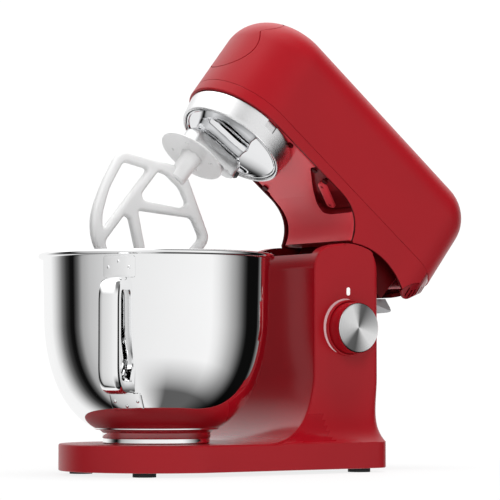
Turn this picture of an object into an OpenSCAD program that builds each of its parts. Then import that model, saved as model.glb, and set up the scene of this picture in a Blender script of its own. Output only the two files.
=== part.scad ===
// Tilt-head stand mixer with a planetary beater drive, shown with its head raised.
// The head, its drive and the beater are drawn head-down and then tilted about the hinge pin.

/* [Stand] */
// Radius of the plinth's round front, and half its width there
plinth_r = 93.5; // [92:0.5:96]
// Height of the plinth's top face above the worktop
plinth_top = 29.5; // [29:0.5:31]
// Height of the rubber feet
foot_h = 4; // [3:0.5:4]
// Width of the column above its flare
column_w = 120; // [118:1:122]
// Wall of the stand's shell
shell_wall = 3.5; // [3:0.5:4]

/* [Hinge] */
// Distance from the bowl's axis back to the hinge pin
hinge_y = 185; // [184:0.5:186]
// Height of the hinge pin above the worktop
hinge_z = 148; // [147:0.5:149]
// Angle that the head is raised through, in degrees
tilt = 38.5; // [36:0.5:39]
// Radius of the hinge pin
hinge_pin_r = 6; // [5:0.5:7]

/* [Head] */
// Radius of the head's nose, and half the head's width
head_r = 60; // [59:0.5:61]
// Height of the top of the lowered head above the worktop
head_top = 354; // [350:1:356]
// Height of the line where the head's two covers meet
seam_z = 254; // [253:0.5:255]
// Rounding along the head's top edge
head_round = 40; // [34:1:42]
// Wall of the head's covers
head_wall = 3; // [2.5:0.5:3]

/* [Bowl] */
// Radius of the bowl's wall just under its rim
bowl_r = 108.9; // [107:0.5:109.5]
// Height of the top of the bowl's rim
rim_top = 210.5; // [209:0.5:211]
// Thickness of the bowl's sheet
bowl_wall = 1; // [0.8:0.1:1]

/* [Beater] */
// Distance of the beater's axis from the hub's axis
planet_offset = 26; // [26:26]
// Half the beater's width at its shoulders
beater_half_w = 66; // [62:1:66]
// Height of the beater below its splash guard
beater_h = 147; // [143:1:147]
// Thickness of the beater's cast bars
beater_t = 9; // [7:0.5:10]

/* [Controls] */
// Radius of the speed knob
knob_r = 25; // [22:0.5:26]
// How far the speed knob stands out of the column
knob_depth = 18; // [16:1:20]

/* [Hidden] */
$fn = 64;
// The bowl's axis lies this far in front of the part's origin
bowl_y = -120;
red = "#a5202c";
gloss_red = "#8f1520";
steel = "#c9ccd0";
cast = "#d9dadb";
dark = "#3a3a3c";

slot_half = 47.5;
neck_half = 46.5;
// above the column the neck is wider than the slot it turns in
neck_wide = 54;
notch_dir = -2;
dome_r = 76.5;
column_front = 145;
column_back = 226;
cover_z = foot_h + 2.5;
knob_z = 141;
knob_y = 186;
floor_z = 244;
floor_t = 4;
planet_dir = 228;
ring_teeth = 48;
planet_teeth = 16;
planet_module = 2 * planet_offset / (ring_teeth - planet_teeth);
drive_module = 1.4;
hub_teeth = 56;
pinion_teeth = 14;
pinion_y = drive_module * (hub_teeth + pinion_teeth) / 2;
motor_y = 170;
belt_z = 265;
crown_z = 291.4;
cover_r = 30.5;
outlet_z = 302;
handle_dir = -51.8;
running = 0.05;
lever_y = 206;
lever_z = 146;

// ---- helpers ----

// Points along an arc about (cx, cy), from angle a0 to a1.
function arc(cx, cy, r, a0, a1, n = 12) =
    [for (i = [0:n]) let(a = a0 + (a1 - a0) * i / n) [cx + r * cos(a), cy + r * sin(a)]];

// Points along a cubic curve with the four control points given.
function curve(p, q, r, s, n = 10) =
    [for (i = [0:n]) let(t = i / n, u = 1 - t)
        u * u * u * p + 3 * u * u * t * q + 3 * u * t * t * r + t * t * t * s];

function unit(v) = v / norm(v);

// An outline with each corner rounded by a short curve that starts r away from it.
function rounded(pts, r, n = 4) = let(c = len(pts)) [
    for (i = [0:c - 1])
        let(
            p = pts[i],
            a = p + r * unit(pts[(i + c - 1) % c] - p),
            b = p + r * unit(pts[(i + 1) % c] - p)
        )
        for (k = [0:n]) let(t = k / n) (1 - t) * (1 - t) * a + 2 * t * (1 - t) * p + t * t * b
];

// Draws in the stand's frame, whose origin is under the bowl's axis.
module stand() {
    translate([0, bowl_y, 0]) children();
}

// Draws a lowered head's piece in its raised place.
module head() {
    stand()
        translate([0, hinge_y, hinge_z])
        rotate([-tilt, 0, 0])
        translate([0, -hinge_y, -hinge_z])
        children();
}

// Draws a piece of the planet, about the beater's axis.
module planet() {
    head()
        translate([planet_offset * cos(planet_dir), planet_offset * sin(planet_dir), 0])
        children();
}

// A side-view outline, (y, z), drawn out across the width.
module side(w, x = 0) {
    translate([x - w / 2, 0, 0]) rotate([90, 0, 90]) linear_extrude(w) children();
}

// A cylinder along X whose near end is at x.
module along_x(x, y, z, r, h) {
    translate([x, y, z]) rotate([0, 90, 0]) cylinder(r = r, h = h);
}

// A cylinder along Y whose front end is at y.
module along_y(x, y, z, r, h) {
    translate([x, y, z]) rotate([-90, 0, 0]) cylinder(r = r, h = h);
}

// A tube standing on z.
module tube(z, r_out, r_in, h) {
    translate([0, 0, z])
        difference() {
            cylinder(r = r_out, h = h);
            translate([0, 0, -1]) cylinder(r = r_in, h = h + 2);
        }
}

// ---- gears ----

function involute(a) = tan(a) * 180 / PI - a;

// Half the angle that an involute tooth takes up at radius r.
function tooth_half(teeth, m, r, play) =
    let(base = m * teeth / 2 * cos(20), a = acos(min(1, base / max(r, base))))
    90 / teeth + involute(20) - involute(a) - play;

// An involute gear's outline, with a tooth on the +X axis.
module gear_outline(teeth, m, outer, root, play) {
    base = m * teeth / 2 * cos(20);
    low = max(root, base);
    radii = [root, low + 0.01, (low + outer) / 2, outer];
    polygon([
        for (k = [0:teeth - 1])
            let(mid = 360 * k / teeth)
            each concat(
                [for (r = radii) let(a = mid - tooth_half(teeth, m, r, play)) r * [cos(a), sin(a)]],
                [for (i = [3:-1:0])
                    let(r = radii[i], a = mid + tooth_half(teeth, m, r, play)) r * [cos(a), sin(a)]]
            )
    ]);
}

module gear(teeth, m, h, phase = 0, play = 0.35) {
    pitch = m * teeth / 2;
    rotate([0, 0, phase])
        linear_extrude(h) gear_outline(teeth, m, pitch + 0.9 * m, pitch - 1.25 * m, play);
}

// ---- stand ----

// The plinth's outline seen from above, inset by d.
module plan(d = 0) {
    taper = 2.67;
    corner_r = 22;
    corner_x = 61;
    corner_y = 204;
    polygon(concat(
        arc(0, 0, plinth_r - d, 180 + taper, 360 - taper, 48),
        arc(corner_x, corner_y, corner_r - d, -taper, 90, 10),
        arc(-corner_x, corner_y, corner_r - d, 90, 180 + taper, 10)
    ));
}

// The column's side view, from its domed top down to the sweep in front.
module column_side() {
    dome_front = 180 - acos((hinge_y - column_front) / dome_r);
    polygon(concat(
        [[column_front - 82, foot_h], [column_back, foot_h]],
        arc(column_back - 18, 199, 18, 0, 52, 5),
        arc(hinge_y, hinge_z, dome_r, 64, dome_front, 16),
        curve([column_front, 95], [column_front - 1, 62], [118, 33], [64, plinth_top], 14)
    ));
}

// Half of the column's front view: straight cheeks that flare out into the plinth.
function column_front_view() = let(w = column_w / 2) concat(
    [[0, 240], [w, 240]],
    curve([w, 84], [w + 1, 56], [w + 8, 40], [w + 26, plinth_top], 10),
    [[w + 26, foot_h], [0, foot_h]]
);

// The column's solid outer form.
module column_form() {
    intersection() {
        side(2 * plinth_r) column_side();
        translate([0, 240, 0])
            rotate([90, 0, 0])
            linear_extrude(240)
            union() {
                polygon(column_front_view());
                mirror([1, 0]) polygon(column_front_view());
            }
        linear_extrude(240) plan();
    }
}

// Where the bottom cover's screws go.
base_screw_at = [[-70, -30], [70, -30], [0, -78], [-66, 110], [66, 110], [0, 130]];

module pedestal() {
    bore_x = slot_half - 1;
    color(red)
        stand()
        difference() {
            union() {
                difference() {
                    union() {
                        translate([0, 0, foot_h]) linear_extrude(plinth_top - foot_h) plan();
                        column_form();
                    }
                    translate([0, 0, foot_h - 1])
                        linear_extrude(plinth_top - shell_wall - foot_h + 1) plan(shell_wall);
                    // the hollow column, open at its top
                    translate([-slot_half, column_front + 5.5, plinth_top])
                        cube([2 * slot_half, column_back - column_front - 10.5, 240]);
                    // the mouth between the cheeks, with a sloping lip in front
                    side(2 * slot_half)
                        polygon([
                            [column_front - 5, 205], [column_front, 211], [column_front + 6, 219],
                            [column_front + 8, 240], [column_front - 5, 240]
                        ]);
                    translate([-slot_half, column_back - 10, 167]) cube([2 * slot_half, 20, 80]);
                }
                for (p = base_screw_at)
                    translate([p[0], p[1], cover_z]) cylinder(r = 4.5, h = plinth_top - 2 - cover_z);
            }
            for (p = base_screw_at)
                translate([p[0], p[1], foot_h]) cylinder(r = 1.6, h = 16);
            // the window for the hinge arm, and the one for the lever
            translate([-22.5, column_back - 10, 148]) cube([45, 20, 60]);
            translate([25, column_back - 10, 144]) cube([22, 20, 18]);
            along_x(bore_x, knob_y, knob_z, 4.6, 20);
            along_x(bore_x, knob_y, 177, 2, 20);
            along_y(-24, column_back - 10, 42, 7, 20);
            // the way for the wires, and the screw holes of the seat and the bracket
            translate([0, 160, 10]) cylinder(r = 6, h = 30);
            for (a = [90, 210, 330])
                rotate([0, 0, a]) translate([34, 0, 10]) cylinder(r = 1.6, h = 30);
            for (p = bracket_screw_at) translate([p[0], p[1], 10]) cylinder(r = 2.25, h = 30);
        }
}

module bottom_cover() {
    color(dark)
        stand()
        difference() {
            translate([0, 0, foot_h]) linear_extrude(cover_z - foot_h) plan(shell_wall + 0.2);
            for (p = base_screw_at) {
                translate([p[0], p[1], 0]) cylinder(r = 1.8, h = 20);
                translate([p[0], p[1], 0]) cylinder(r = 3.6, h = foot_h + 1.4);
            }
            for (p = foot_at) translate([p[0], p[1], 0]) cylinder(r = 3, h = 20);
        }
}

// Where the rubber feet go.
foot_at = [[-56, -50], [56, -50], [-64, 196], [64, 196]];

module rubber_feet() {
    color("#1c1c1e")
        stand()
        for (p = foot_at)
            translate([p[0], p[1], 0]) {
                cylinder(r = 11, h = foot_h);
                translate([0, 0, foot_h]) cylinder(r = 3, h = 2.5);
            }
}

module base_screws() {
    color(steel)
        stand()
        for (p = base_screw_at)
            translate([p[0], p[1], foot_h]) {
                cylinder(r = 3.4, h = 1.2);
                cylinder(r = 1.55, h = 15);
            }
}

// The bayonet boss that the bowl's foot turns onto.
module bowl_seat() {
    lug_w = 22;
    color("#8c8e92")
        stand()
        difference() {
            union() {
                translate([0, 0, plinth_top]) cylinder(r = 42, h = 8);
                for (a = [30, 150, 270])
                    rotate([0, 0, a])
                        translate([30, -lug_w / 2, plinth_top + 5.3]) cube([16.5, lug_w, 2.7]);
            }
            translate([0, 0, plinth_top + 3]) cylinder(r = 28, h = 10);
            for (a = [90, 210, 330])
                rotate([0, 0, a]) translate([34, 0, 10]) {
                    cylinder(r = 1.8, h = 40);
                    translate([0, 0, plinth_top - 10 + 5]) cylinder(r = 3.6, h = 10);
                }
        }
}

module seat_screws() {
    color(steel)
        stand()
        for (a = [90, 210, 330])
            rotate([0, 0, a])
                translate([34, 0, 0]) {
                    translate([0, 0, plinth_top - 5]) cylinder(r = 1.55, h = 10);
                    translate([0, 0, plinth_top + 5]) cylinder(r = 3.4, h = 2);
                }
}

bracket_screw_at = [[-36, 166], [36, 166], [-36, 208], [36, 208]];

// The steel bracket inside the column that carries the hinge.
module hinge_bracket() {
    ear_in = 22.5;
    ear_t = 5;
    color(steel)
        stand()
        difference() {
            union() {
                difference() {
                    translate([-44, hinge_y - 28, plinth_top]) cube([88, 60, 4]);
                    translate([0, 160, 10]) cylinder(r = 8, h = 40);
                }
                for (s = [-1, 1])
                    side(ear_t, s * (ear_in + ear_t / 2))
                        polygon(concat(
                            [[hinge_y - 26, plinth_top], [hinge_y + 30, plinth_top]],
                            arc(lever_y, lever_z, 7, -10, 80, 6),
                            arc(hinge_y, hinge_z, 15, 50, 180, 12)
                        ));
            }
            along_x(-60, hinge_y, hinge_z, hinge_pin_r, 120);
            for (p = bracket_screw_at) translate([p[0], p[1], 0]) cylinder(r = 2.4, h = 60);
        }
}

module bracket_screws() {
    color(steel)
        stand()
        for (p = bracket_screw_at)
            translate([p[0], p[1], plinth_top]) {
                translate([0, 0, -5]) cylinder(r = 2.2, h = 10);
                translate([0, 0, 4]) cylinder(r = 4.4, h = 3);
            }
}

module hinge_pin() {
    color(steel)
        stand() {
            along_x(-30, hinge_y, hinge_z, hinge_pin_r, 60);
            along_x(-32.5, hinge_y, hinge_z, hinge_pin_r + 2.5, 2.5);
        }
}

module dial_bezel() {
    x = column_w / 2;
    color(red)
        stand()
        difference() {
            along_x(x, knob_y, knob_z, knob_r + 2.5, 3);
            along_x(x - 1, knob_y, knob_z, knob_r + 0.4, 10);
        }
}

// The pale crescent that marks the speed range on the bezel.
module dial_arc() {
    x = column_w / 2 + 3;
    color("#d8d8da")
        stand()
        translate([x, knob_y, knob_z])
        rotate([90, 0, 90])
        linear_extrude(0.5)
        polygon(concat(
            arc(0, 0, knob_r + 2.3, 84, 232, 24),
            arc(0.25, 0, knob_r + 0.9, 232, 84, 24)
        ));
}

module speed_control() {
    color(dark)
        stand()
        difference() {
            union() {
                along_x(36, knob_y, knob_z, 9, slot_half - 36);
                along_x(slot_half, knob_y, knob_z, 4.5, 11);
            }
            along_x(40, knob_y, knob_z, 3 + running, 40);
        }
}

module indicator_lens() {
    color("#f4f4f0")
        stand()
        union() {
            along_x(slot_half - 3, knob_y, 177, 1.95, column_w / 2 - slot_half + 3);
            side(0.5, column_w / 2 + 0.25)
                polygon(concat(
                    arc(knob_y, 179, 2, 0, 180, 8),
                    arc(knob_y, 175, 2, 180, 360, 8)
                ));
        }
}

module control_board() {
    color("#2f6b45")
        stand() {
            translate([-46, 156, 60]) cube([1.6, 56, 60]);
            translate([-44.4, 162, 70]) cube([12, 16, 22]);
            translate([-44.4, 186, 74]) cube([9, 20, 30]);
        }
}

module cord_grommet() {
    color(dark)
        stand() {
            along_y(-24, column_back - 6, 42, 6.9, 6);
            along_y(-24, column_back, 42, 9, 1.5);
            along_y(-24, column_back - 8, 42, 8.5, 2);
        }
}

module lever_pin() {
    color(steel)
        stand()
        along_x(27.5, lever_y, lever_z, 2, 20);
}

// The release lever: a paddle behind the column and a hook inside it.
module lift_lever() {
    x0 = 28;
    w = 17;
    color("#7d7f83")
        stand()
        difference() {
            side(w, x0 + w / 2)
                polygon(concat(
                    arc(lever_y, lever_z, 6, 100, 250, 10),
                    [
                        [column_back - 6, lever_z + 4], [column_back + 6, lever_z + 11],
                        [column_back + 24, lever_z + 12], [column_back + 29, lever_z + 20],
                        [column_back + 6, lever_z + 23], [column_back + 2, lever_z + 14],
                        [column_back - 8, lever_z + 9]
                    ]
                ));
            along_x(0, lever_y, lever_z, 2 + running, 60);
        }
}

// ---- speed knob ----

module speed_knob() {
    x = column_w / 2 + 0.6;
    body_d = knob_depth - 2;
    color(red)
        stand()
        difference() {
            translate([x, knob_y, knob_z])
                rotate([0, 90, 0])
                rotate_extrude()
                polygon([
                    [0, 0], [knob_r, 0], [knob_r, 3], [knob_r - 0.6, body_d - 1.2],
                    [knob_r - 1.6, body_d], [knob_r - 3, body_d], [knob_r - 3, body_d - 1.2],
                    [0, body_d - 1.2]
                ]);
            along_x(x - 1, knob_y, knob_z, 18, 9);
            along_x(0, knob_y, knob_z, 3, 80);
        }
}

module knob_cap() {
    color(steel)
        stand()
        along_x(column_w / 2 + knob_depth - 2.6, knob_y, knob_z, knob_r - 3.1, 2.2);
}

module knob_shaft() {
    color(steel)
        stand()
        along_x(41, knob_y, knob_z, 3, column_w / 2 + knob_depth - 3 - 41);
}

// ---- bowl ----

// The bowl's outer side from its base to its rim, inset by d.
function bowl_side(d) = concat(
    [[0, 40 + d], [52, 40.6 + d]],
    curve([59.4 - d * 0.5, 43.9 + d], [86 - d, 57 + d], [104.5 - d, 92], [107.4 - d, 140], 18),
    [[bowl_r - d, 203]]
);

module mixing_bowl() {
    outer = bowl_side(0);
    inner = bowl_side(bowl_wall);
    n = len(inner) - 1;
    color(steel)
        stand()
        rotate_extrude($fn = 180)
        union() {
            polygon(concat(outer, [for (i = [n:-1:0]) inner[i]]));
            polygon([
                [bowl_r - bowl_wall, 202.9], [bowl_r, 202.9],
                [bowl_r + 3, rim_top - 3], [bowl_r + 1, rim_top - 1]
            ]);
            translate([bowl_r + 2, rim_top - 2.5]) circle(r = 2.5, $fn = 20);
        }
}

module bowl_foot() {
    color(steel)
        stand() {
            rotate_extrude($fn = 120)
                polygon([
                    [49.2, 29.8], [50.7, 29.8], [50.7, 33.4], [53.2, 38.2], [59.3, 43.8],
                    [59.3, 43.83], [52, 40.55], [49.2, 38]
                ]);
            for (a = [30, 150, 270])
                rotate([0, 0, a])
                    intersection() {
                        tube(30.4, 49.5, 43.6, 3.6);
                        translate([40, -10, 30]) cube([12, 20, 6]);
                    }
        }
}

// The handle in its own plane: (distance from the bowl's axis, height).
handle_out = concat(
    [[109, 172.5], [109, 184.5]],
    curve([118, 184.5], [132, 184.5], [140, 178], [140.5, 160], 8),
    curve([140.5, 104], [140.5, 88], [134, 78], [116, 77], 8),
    [[95, 76.4], [92.4, 75.4], [84.2, 62.4]]
);
handle_in = concat(
    [[84, 62.6], [91.8, 75], [98.4, 89]],
    curve([110, 89], [122, 89.5], [127.5, 94], [128, 106], 8),
    curve([128, 158], [127.5, 168], [124, 172.5], [114, 172.5], 8)
);
// The hollow of the channel, which is open towards the bowl.
handle_hollow = concat(
    [[112, 182.3]],
    curve([116, 182.3], [131, 182.3], [138, 176], [138.3, 160], 8),
    curve([138.3, 104], [138.3, 90], [133, 80.4], [116, 79.3], 8),
    [[101, 79], [106, 92], [118, 92], [124, 100], [124, 162], [118, 169], [112, 169]]
);

module bowl_handle() {
    grip_w = 20;
    skin = 2;
    plate_w = 32;
    weld_r = 1.3;
    color(steel)
        stand()
        rotate([0, 0, handle_dir])
        difference() {
            union() {
                rotate([90, 0, 0])
                    linear_extrude(grip_w, center = true) polygon(concat(handle_out, handle_in));
                intersection() {
                    tube(183.5, 110.8, bowl_r + 0.3, 20.5);
                    translate([90, -plate_w / 2, 180]) cube([40, plate_w, 40]);
                }
                rotate([90, 0, 0])
                    linear_extrude(plate_w, center = true)
                    polygon([[82.8, 62], [84.4, 61], [93.8, 75.7], [92, 76.6]]);
                // the spot welds, three on each plate
                for (w = [[-10, 194], [10, 194], [0, 199]])
                    translate([sqrt(110.8 * 110.8 - w[0] * w[0]) - 1, w[0], w[1]])
                        rotate([0, 90, 0]) cylinder(r = weld_r, h = 1.4);
                for (w = [[-11, 5.5], [11, 5.5], [0, 2.6]])
                    translate([84.4, w[0], 61])
                        rotate([0, atan2(9.4, 14.7), 0])
                        translate([-1, 0, w[1]])
                        rotate([0, 90, 0]) cylinder(r = weld_r, h = 1.4);
            }
            rotate([90, 0, 0])
                linear_extrude(grip_w - 2 * skin, center = true) polygon(handle_hollow);
        }
}

// ---- head ----

// The head's outline seen from above, inset by d.
module head_plan(d = 0) {
    corner_r = 45;
    polygon(concat(
        arc(0, 0, head_r - d, 180, 360, 36),
        arc(head_r - corner_r, 261 - corner_r, corner_r - d, 0, 90, 12),
        arc(corner_r - head_r, 261 - corner_r, corner_r - d, 90, 180, 12)
    ));
}

// One end of the upper cover's form: a drum whose top edge is rounded.
module head_end(r, d, top) {
    k = head_round;
    rotate_extrude($fn = 48)
        polygon(concat(
            [[0, seam_z - d], [r - d, seam_z - d]],
            arc(r - k, top - k, k - d, 0, 90, 8),
            [[0, top - d]]
        ));
}

// The upper cover's solid form, inset by d.
module cover_form(d) {
    hull() {
        head_end(head_r, d, head_top);
        for (s = [-1, 1]) translate([s * 15, 216, 0]) head_end(45, d, head_top);
    }
}

// The round cover's plug shape, a drum through the nose.
module outlet_cut(r) {
    along_y(0, -head_r - 5, outlet_z, r, 50);
}

module head_cover() {
    color(red)
        head()
        difference() {
            cover_form(0);
            cover_form(head_wall);
            outlet_cut(cover_r + 0.3);
        }
}

// The lower cover: a skirt whose edge runs round the column's dome.
module head_skirt() {
    color(red)
        head()
        difference() {
            intersection() {
                translate([0, 0, 190]) linear_extrude(seam_z - 190) head_plan();
                side(2 * head_r + 2)
                    polygon(concat(
                        [[-62, 242.5], [100, 243.2]],
                        curve([100, 243.2], [124, 243], [136, 232], [141, 214.4], 8),
                        arc(hinge_y, hinge_z, dome_r + 1, 123, 62, 16),
                        [[229, 212], [241, 226], [258, 247], [262, 252], [262, 260], [-62, 260]]
                    ));
            }
            translate([0, 0, 180]) linear_extrude(90) head_plan(head_wall);
            side(140) polygon([[150, 150], [222, 150], [222, 215.2], [150, 150]]);
        }
}

// The neck's side view: it meets the column's lip in front and reaches back over the hinge.
module neck_side(d = 0) {
    polygon(concat(
        [[96, floor_z + d]],
        curve([104 + d, floor_z], [126 + d, 242], [138 + d, 232], [141 + d, 215.5], 10),
        [[153 + d, 223], [156 + d, 222], [156 + d, 200], [212 - d, 200], [214 - d, 232], [214 - d, floor_z + 1]]
    ));
}

// The casting that carries the drive: the head's floor, the neck and the hinge arm.
module head_frame() {
    color(gloss_red)
        head()
        difference() {
            union() {
                translate([0, 0, floor_z]) linear_extrude(floor_t) head_plan(head_wall + 0.3);
                side(2 * neck_half) neck_side();
                side(2 * neck_wide)
                    difference() {
                        intersection() {
                            neck_side();
                            translate([90, 200]) square([56, 50]);
                        }
                        translate([hinge_y, hinge_z]) circle(r = dome_r + 1.5);
                    }
                side(40)
                    polygon(concat(
                        [[204, 201], [164, 201]],
                        arc(hinge_y, hinge_z, 21, 180, 360, 16)
                    ));
            }
            side(2 * neck_half - 10)
                polygon([
                    [161, 205], [207, 205], [209, floor_z + floor_t + 1],
                    [122, floor_z + floor_t + 1], [140, 236], [147, 228], [158, 229]
                ]);
            along_x(-60, hinge_y, hinge_z, 9, 120);
            translate([0, 0, 200]) cylinder(r = 14, h = 80);
            translate([0, pinion_y, 200]) cylinder(r = 9, h = 80);
            for (p = frame_screw_at) translate([p[0], p[1], 200]) cylinder(r = 1.6, h = 80);
            // clearance under the seam's rear corner for the vent
            side(130) polygon([[250, 240], [259, 240], [259, 249], [256, 249]]);
        }
}

module hinge_bushes() {
    color("#b08d57")
        head()
        difference() {
            for (s = [-1, 1]) along_x(s * 15.5 - 4.5, hinge_y, hinge_z, 9, 9);
            along_x(-60, hinge_y, hinge_z, hinge_pin_r + running, 120);
        }
}

// The chrome trim ring round the planet hub.
module hub_ring() {
    color(steel)
        head()
        difference() {
            rotate_extrude($fn = 120)
                polygon([
                    [52, 222.2], [53, 221], [54, 221], [54.6, 222], [57.4, 241], [57, 242],
                    [50, 242], [50, 240], [54.5, 240], [51.6, 223.5]
                ]);
            rotate([0, 0, notch_dir]) translate([50, -6, 233.8]) cube([12, 12, 10]);
        }
}

module ring_tab() {
    color("#9a9ca0")
        head()
        rotate([0, 0, notch_dir])
        translate([52.8, -5.6, 234.2])
        cube([2.4, 11.2, 7.4]);
}

module gearbox_form(d) {
    linear_extrude(floor_z + floor_t + 16 - d - (floor_z + floor_t))
        union() {
            circle(r = 46 - d);
            translate([0, pinion_y]) circle(r = 16 - d);
            translate([-14 + d, 0]) square([28 - 2 * d, pinion_y]);
        }
}

module gearbox_housing() {
    top = floor_z + floor_t + 16;
    color("#a9acb0")
        head()
        difference() {
            union() {
                translate([0, 0, floor_z + floor_t])
                    difference() {
                        gearbox_form(0);
                        translate([0, 0, -1]) gearbox_form(2.5);
                    }
            }
            translate([0, 0, 230]) cylinder(r = 12, h = 60);
            translate([0, pinion_y, 230]) cylinder(r = 9, h = 60);
        }
}

// The fixed ring gear that the planet pinion rolls inside.
module ring_gear() {
    pitch = planet_module * ring_teeth / 2;
    color(steel)
        head()
        translate([0, 0, 235])
        difference() {
            cylinder(r = 46.5, h = floor_z - 235);
            translate([0, 0, -1])
                linear_extrude(20)
                gear_outline(ring_teeth, planet_module, pitch + 1.25 * planet_module,
                    pitch - 0.8 * planet_module, -0.25);
        }
}

// The two plain bearings of the hub's shaft and the two of the pinion's shaft.
module shaft_bearings() {
    top = floor_z + floor_t + 13.5;
    color("#b08d57")
        head() {
            tube(floor_z, 14, 8 + running, floor_t);
            tube(top, 12, 8 + running, 2.5);
            translate([0, pinion_y, 0]) {
                tube(floor_z, 9, 5 + running, floor_t);
                tube(top, 9, 5 + running, 2.5);
            }
        }
}

motor_post_at = [[-29, -24], [29, -24], [-29, 24], [29, 24]];

module motor_frame() {
    color("#a9acb0")
        head()
        translate([0, motor_y, 0]) {
            difference() {
                union() {
                    translate([0, 0, 277]) cylinder(r = 40, h = 5);
                    translate([0, 0, 331]) cylinder(r = 40, h = 4);
                    for (p = motor_post_at)
                        translate([p[0], p[1], 0]) {
                            translate([0, 0, floor_z + floor_t])
                                cylinder(r = 4, h = 277 - floor_z - floor_t);
                            translate([0, 0, 282]) cylinder(r = 2, h = 49);
                        }
                }
                cylinder(r = 8, h = 400);
                translate([0, 0, 330])
                    for (a = [0:60:300]) rotate([0, 0, a]) translate([22, 0, 0]) cylinder(r = 6, h = 10);
            }
        }
}

module motor_stator() {
    color("#6d4b2a")
        head()
        translate([0, motor_y, 0])
        difference() {
            tube(288, 34.5, 24.8, 26);
            for (p = motor_post_at) translate([p[0], p[1], 280]) cylinder(r = 2.3, h = 60);
        }
}

module carbon_brushes() {
    color("#2b2b2b")
        head()
        translate([0, motor_y, 0])
        for (s = [-1, 1]) {
            translate([s * 19 - 6, -3, 319.5]) cube([12, 6, 5]);
            translate([s * 26 - 4, -5, 318]) cube([8, 10, 8]);
            translate([s * 27 - 3, -5, 326]) cube([6, 10, 5]);
        }
}

module motor_bearings() {
    color(steel)
        head()
        translate([0, motor_y, 0]) {
            tube(277, 8, 4 + running, 5);
            tube(331, 8, 4 + running, 4);
        }
}

// The outline of a belt round both pulleys, at a distance from the pulleys' faces.
module belt_loop(gap) {
    big = 33 + gap;
    small = 11 + gap;
    run = motor_y - pinion_y;
    lean = asin((big - small) / run);
    polygon(concat(
        arc(0, pinion_y, big, 180 - lean, 360 + lean, 40),
        arc(0, motor_y, small, lean, 180 - lean, 20)
    ));
}

module drive_belt() {
    color("#1a1a1a")
        head()
        translate([0, 0, belt_z + 1])
        linear_extrude(7)
        difference() {
            belt_loop(2);
            belt_loop(0.3);
        }
}

// The bracket that stands on the gearbox and holds the outlet's shaft.
module outlet_bearing() {
    base_z = floor_z + floor_t + 16;
    color("#a9acb0")
        head()
        difference() {
            union() {
                translate([-11, -42, base_z]) cube([22, 8, outlet_z - base_z]);
                along_y(0, -42, outlet_z, 11, 8);
            }
            along_y(0, -60, outlet_z, 6 + running, 40);
        }
}

// The slotted grille under the head's rear corner.
module rear_vent() {
    color(dark)
        head()
        difference() {
            side(84) polygon([[224.5, 210.8], [229, 215.5], [249.5, 240], [246.5, 242.5], [223, 214]]);
            for (i = [-3:3])
                side(70) {
                    s = i * 4.2;
                    polygon([
                        [236 + s * 0.64 - 3, 226 + s * 0.77 + 3], [236 + s * 0.64 + 5, 226 + s * 0.77 - 6],
                        [237.2 + s * 0.64 + 5, 227.4 + s * 0.77 - 6], [237.2 + s * 0.64 - 3, 227.4 + s * 0.77 + 3]
                    ]);
                }
        }
}

frame_screw_at = [[-50, 30], [50, 30], [-50, 84], [50, 84], [-50, 200], [50, 200]];

module frame_screws() {
    color(steel)
        head()
        for (p = frame_screw_at)
            translate([p[0], p[1], 0]) {
                translate([0, 0, floor_z - 2]) cylinder(r = 3.2, h = 2);
                translate([0, 0, floor_z - 1]) cylinder(r = 1.55, h = 9);
            }
}

// The round cover over the nose outlet: the nose's own curve, cut to a disc.
module outlet_cover() {
    color(red)
        head() {
            intersection() {
                difference() {
                    cover_form(0);
                    cover_form(head_wall);
                }
                outlet_cut(cover_r);
            }
            // the collar that holds it on the outlet's end
            translate([0, -56.5, outlet_z])
                rotate([-90, 0, 0])
                tube(0, 13, 11, 8);
        }
}

// ---- hub, turning in the head ----

dish_outline = [
    [50.6, 222.6], [50.6, 234], [0, 234], [0, 231.8], [20, 231.4], [35, 229],
    [45, 225.4], [48, 223.6], [49.2, 222.6]
];

module hub_dish() {
    x = planet_offset * cos(planet_dir);
    y = planet_offset * sin(planet_dir);
    color(steel)
        head()
        difference() {
            rotate_extrude($fn = 120) polygon(dish_outline);
            translate([x, y, 200]) cylinder(r = 15, h = 60);
            translate([0, 0, 220]) cylinder(r = 8, h = 40);
        }
}

// The block that hangs off the dish and carries the beater's socket.
module socket_block() {
    far = 12;
    color(cast)
        planet()
        difference() {
            union() {
                translate([0, 0, 197]) cylinder(r = 15, h = 37);
                rotate([0, 0, planet_dir + 180])
                    difference() {
                        translate([0, 0, 197])
                            linear_extrude(30)
                            polygon(concat(
                                arc(0, 0, 19, 75, 285, 24),
                                arc(planet_offset + far, 0, 9, -80, 80, 10)
                            ));
                        translate([planet_offset, 0, 0])
                            rotate_extrude($fn = 120) polygon(dish_outline);
                        // the belly slopes up away from the socket
                        translate([6, -30, 197])
                            rotate([0, -24, 0]) translate([0, 0, -40]) cube([80, 60, 40]);
                    }
            }
            translate([0, 0, 190]) cylinder(r = 8, h = 50);
        }
}

module hub_shaft() {
    color(steel)
        head()
        translate([0, 0, 231.8])
        cylinder(r = 8, h = crown_z - 231.8);
}

// The crown wheel on the hub shaft's top end, which turns the nose outlet.
module crown_gear() {
    crown_teeth = 24;
    color(steel)
        head()
        difference() {
            union() {
                translate([0, 0, crown_z - 4]) cylinder(r = 22, h = 4);
                for (k = [0:crown_teeth - 1])
                    rotate([0, 0, 360 * (k + 0.5) / crown_teeth])
                        translate([14.5, -0.75, crown_z - 1]) cube([7, 1.5, 3]);
            }
            translate([0, 0, crown_z - 10]) cylinder(r = 8, h = 40);
        }
}

module hub_gear() {
    color(steel)
        head()
        difference() {
            translate([0, 0, 250]) gear(hub_teeth, drive_module, 7);
            translate([0, 0, 240]) cylinder(r = 8, h = 40);
        }
}

module planet_bearings() {
    color("#b08d57")
        planet() {
            tube(199, 8, 6 + running, 7);
            tube(227, 8, 6 + running, 7);
        }
}

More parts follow.
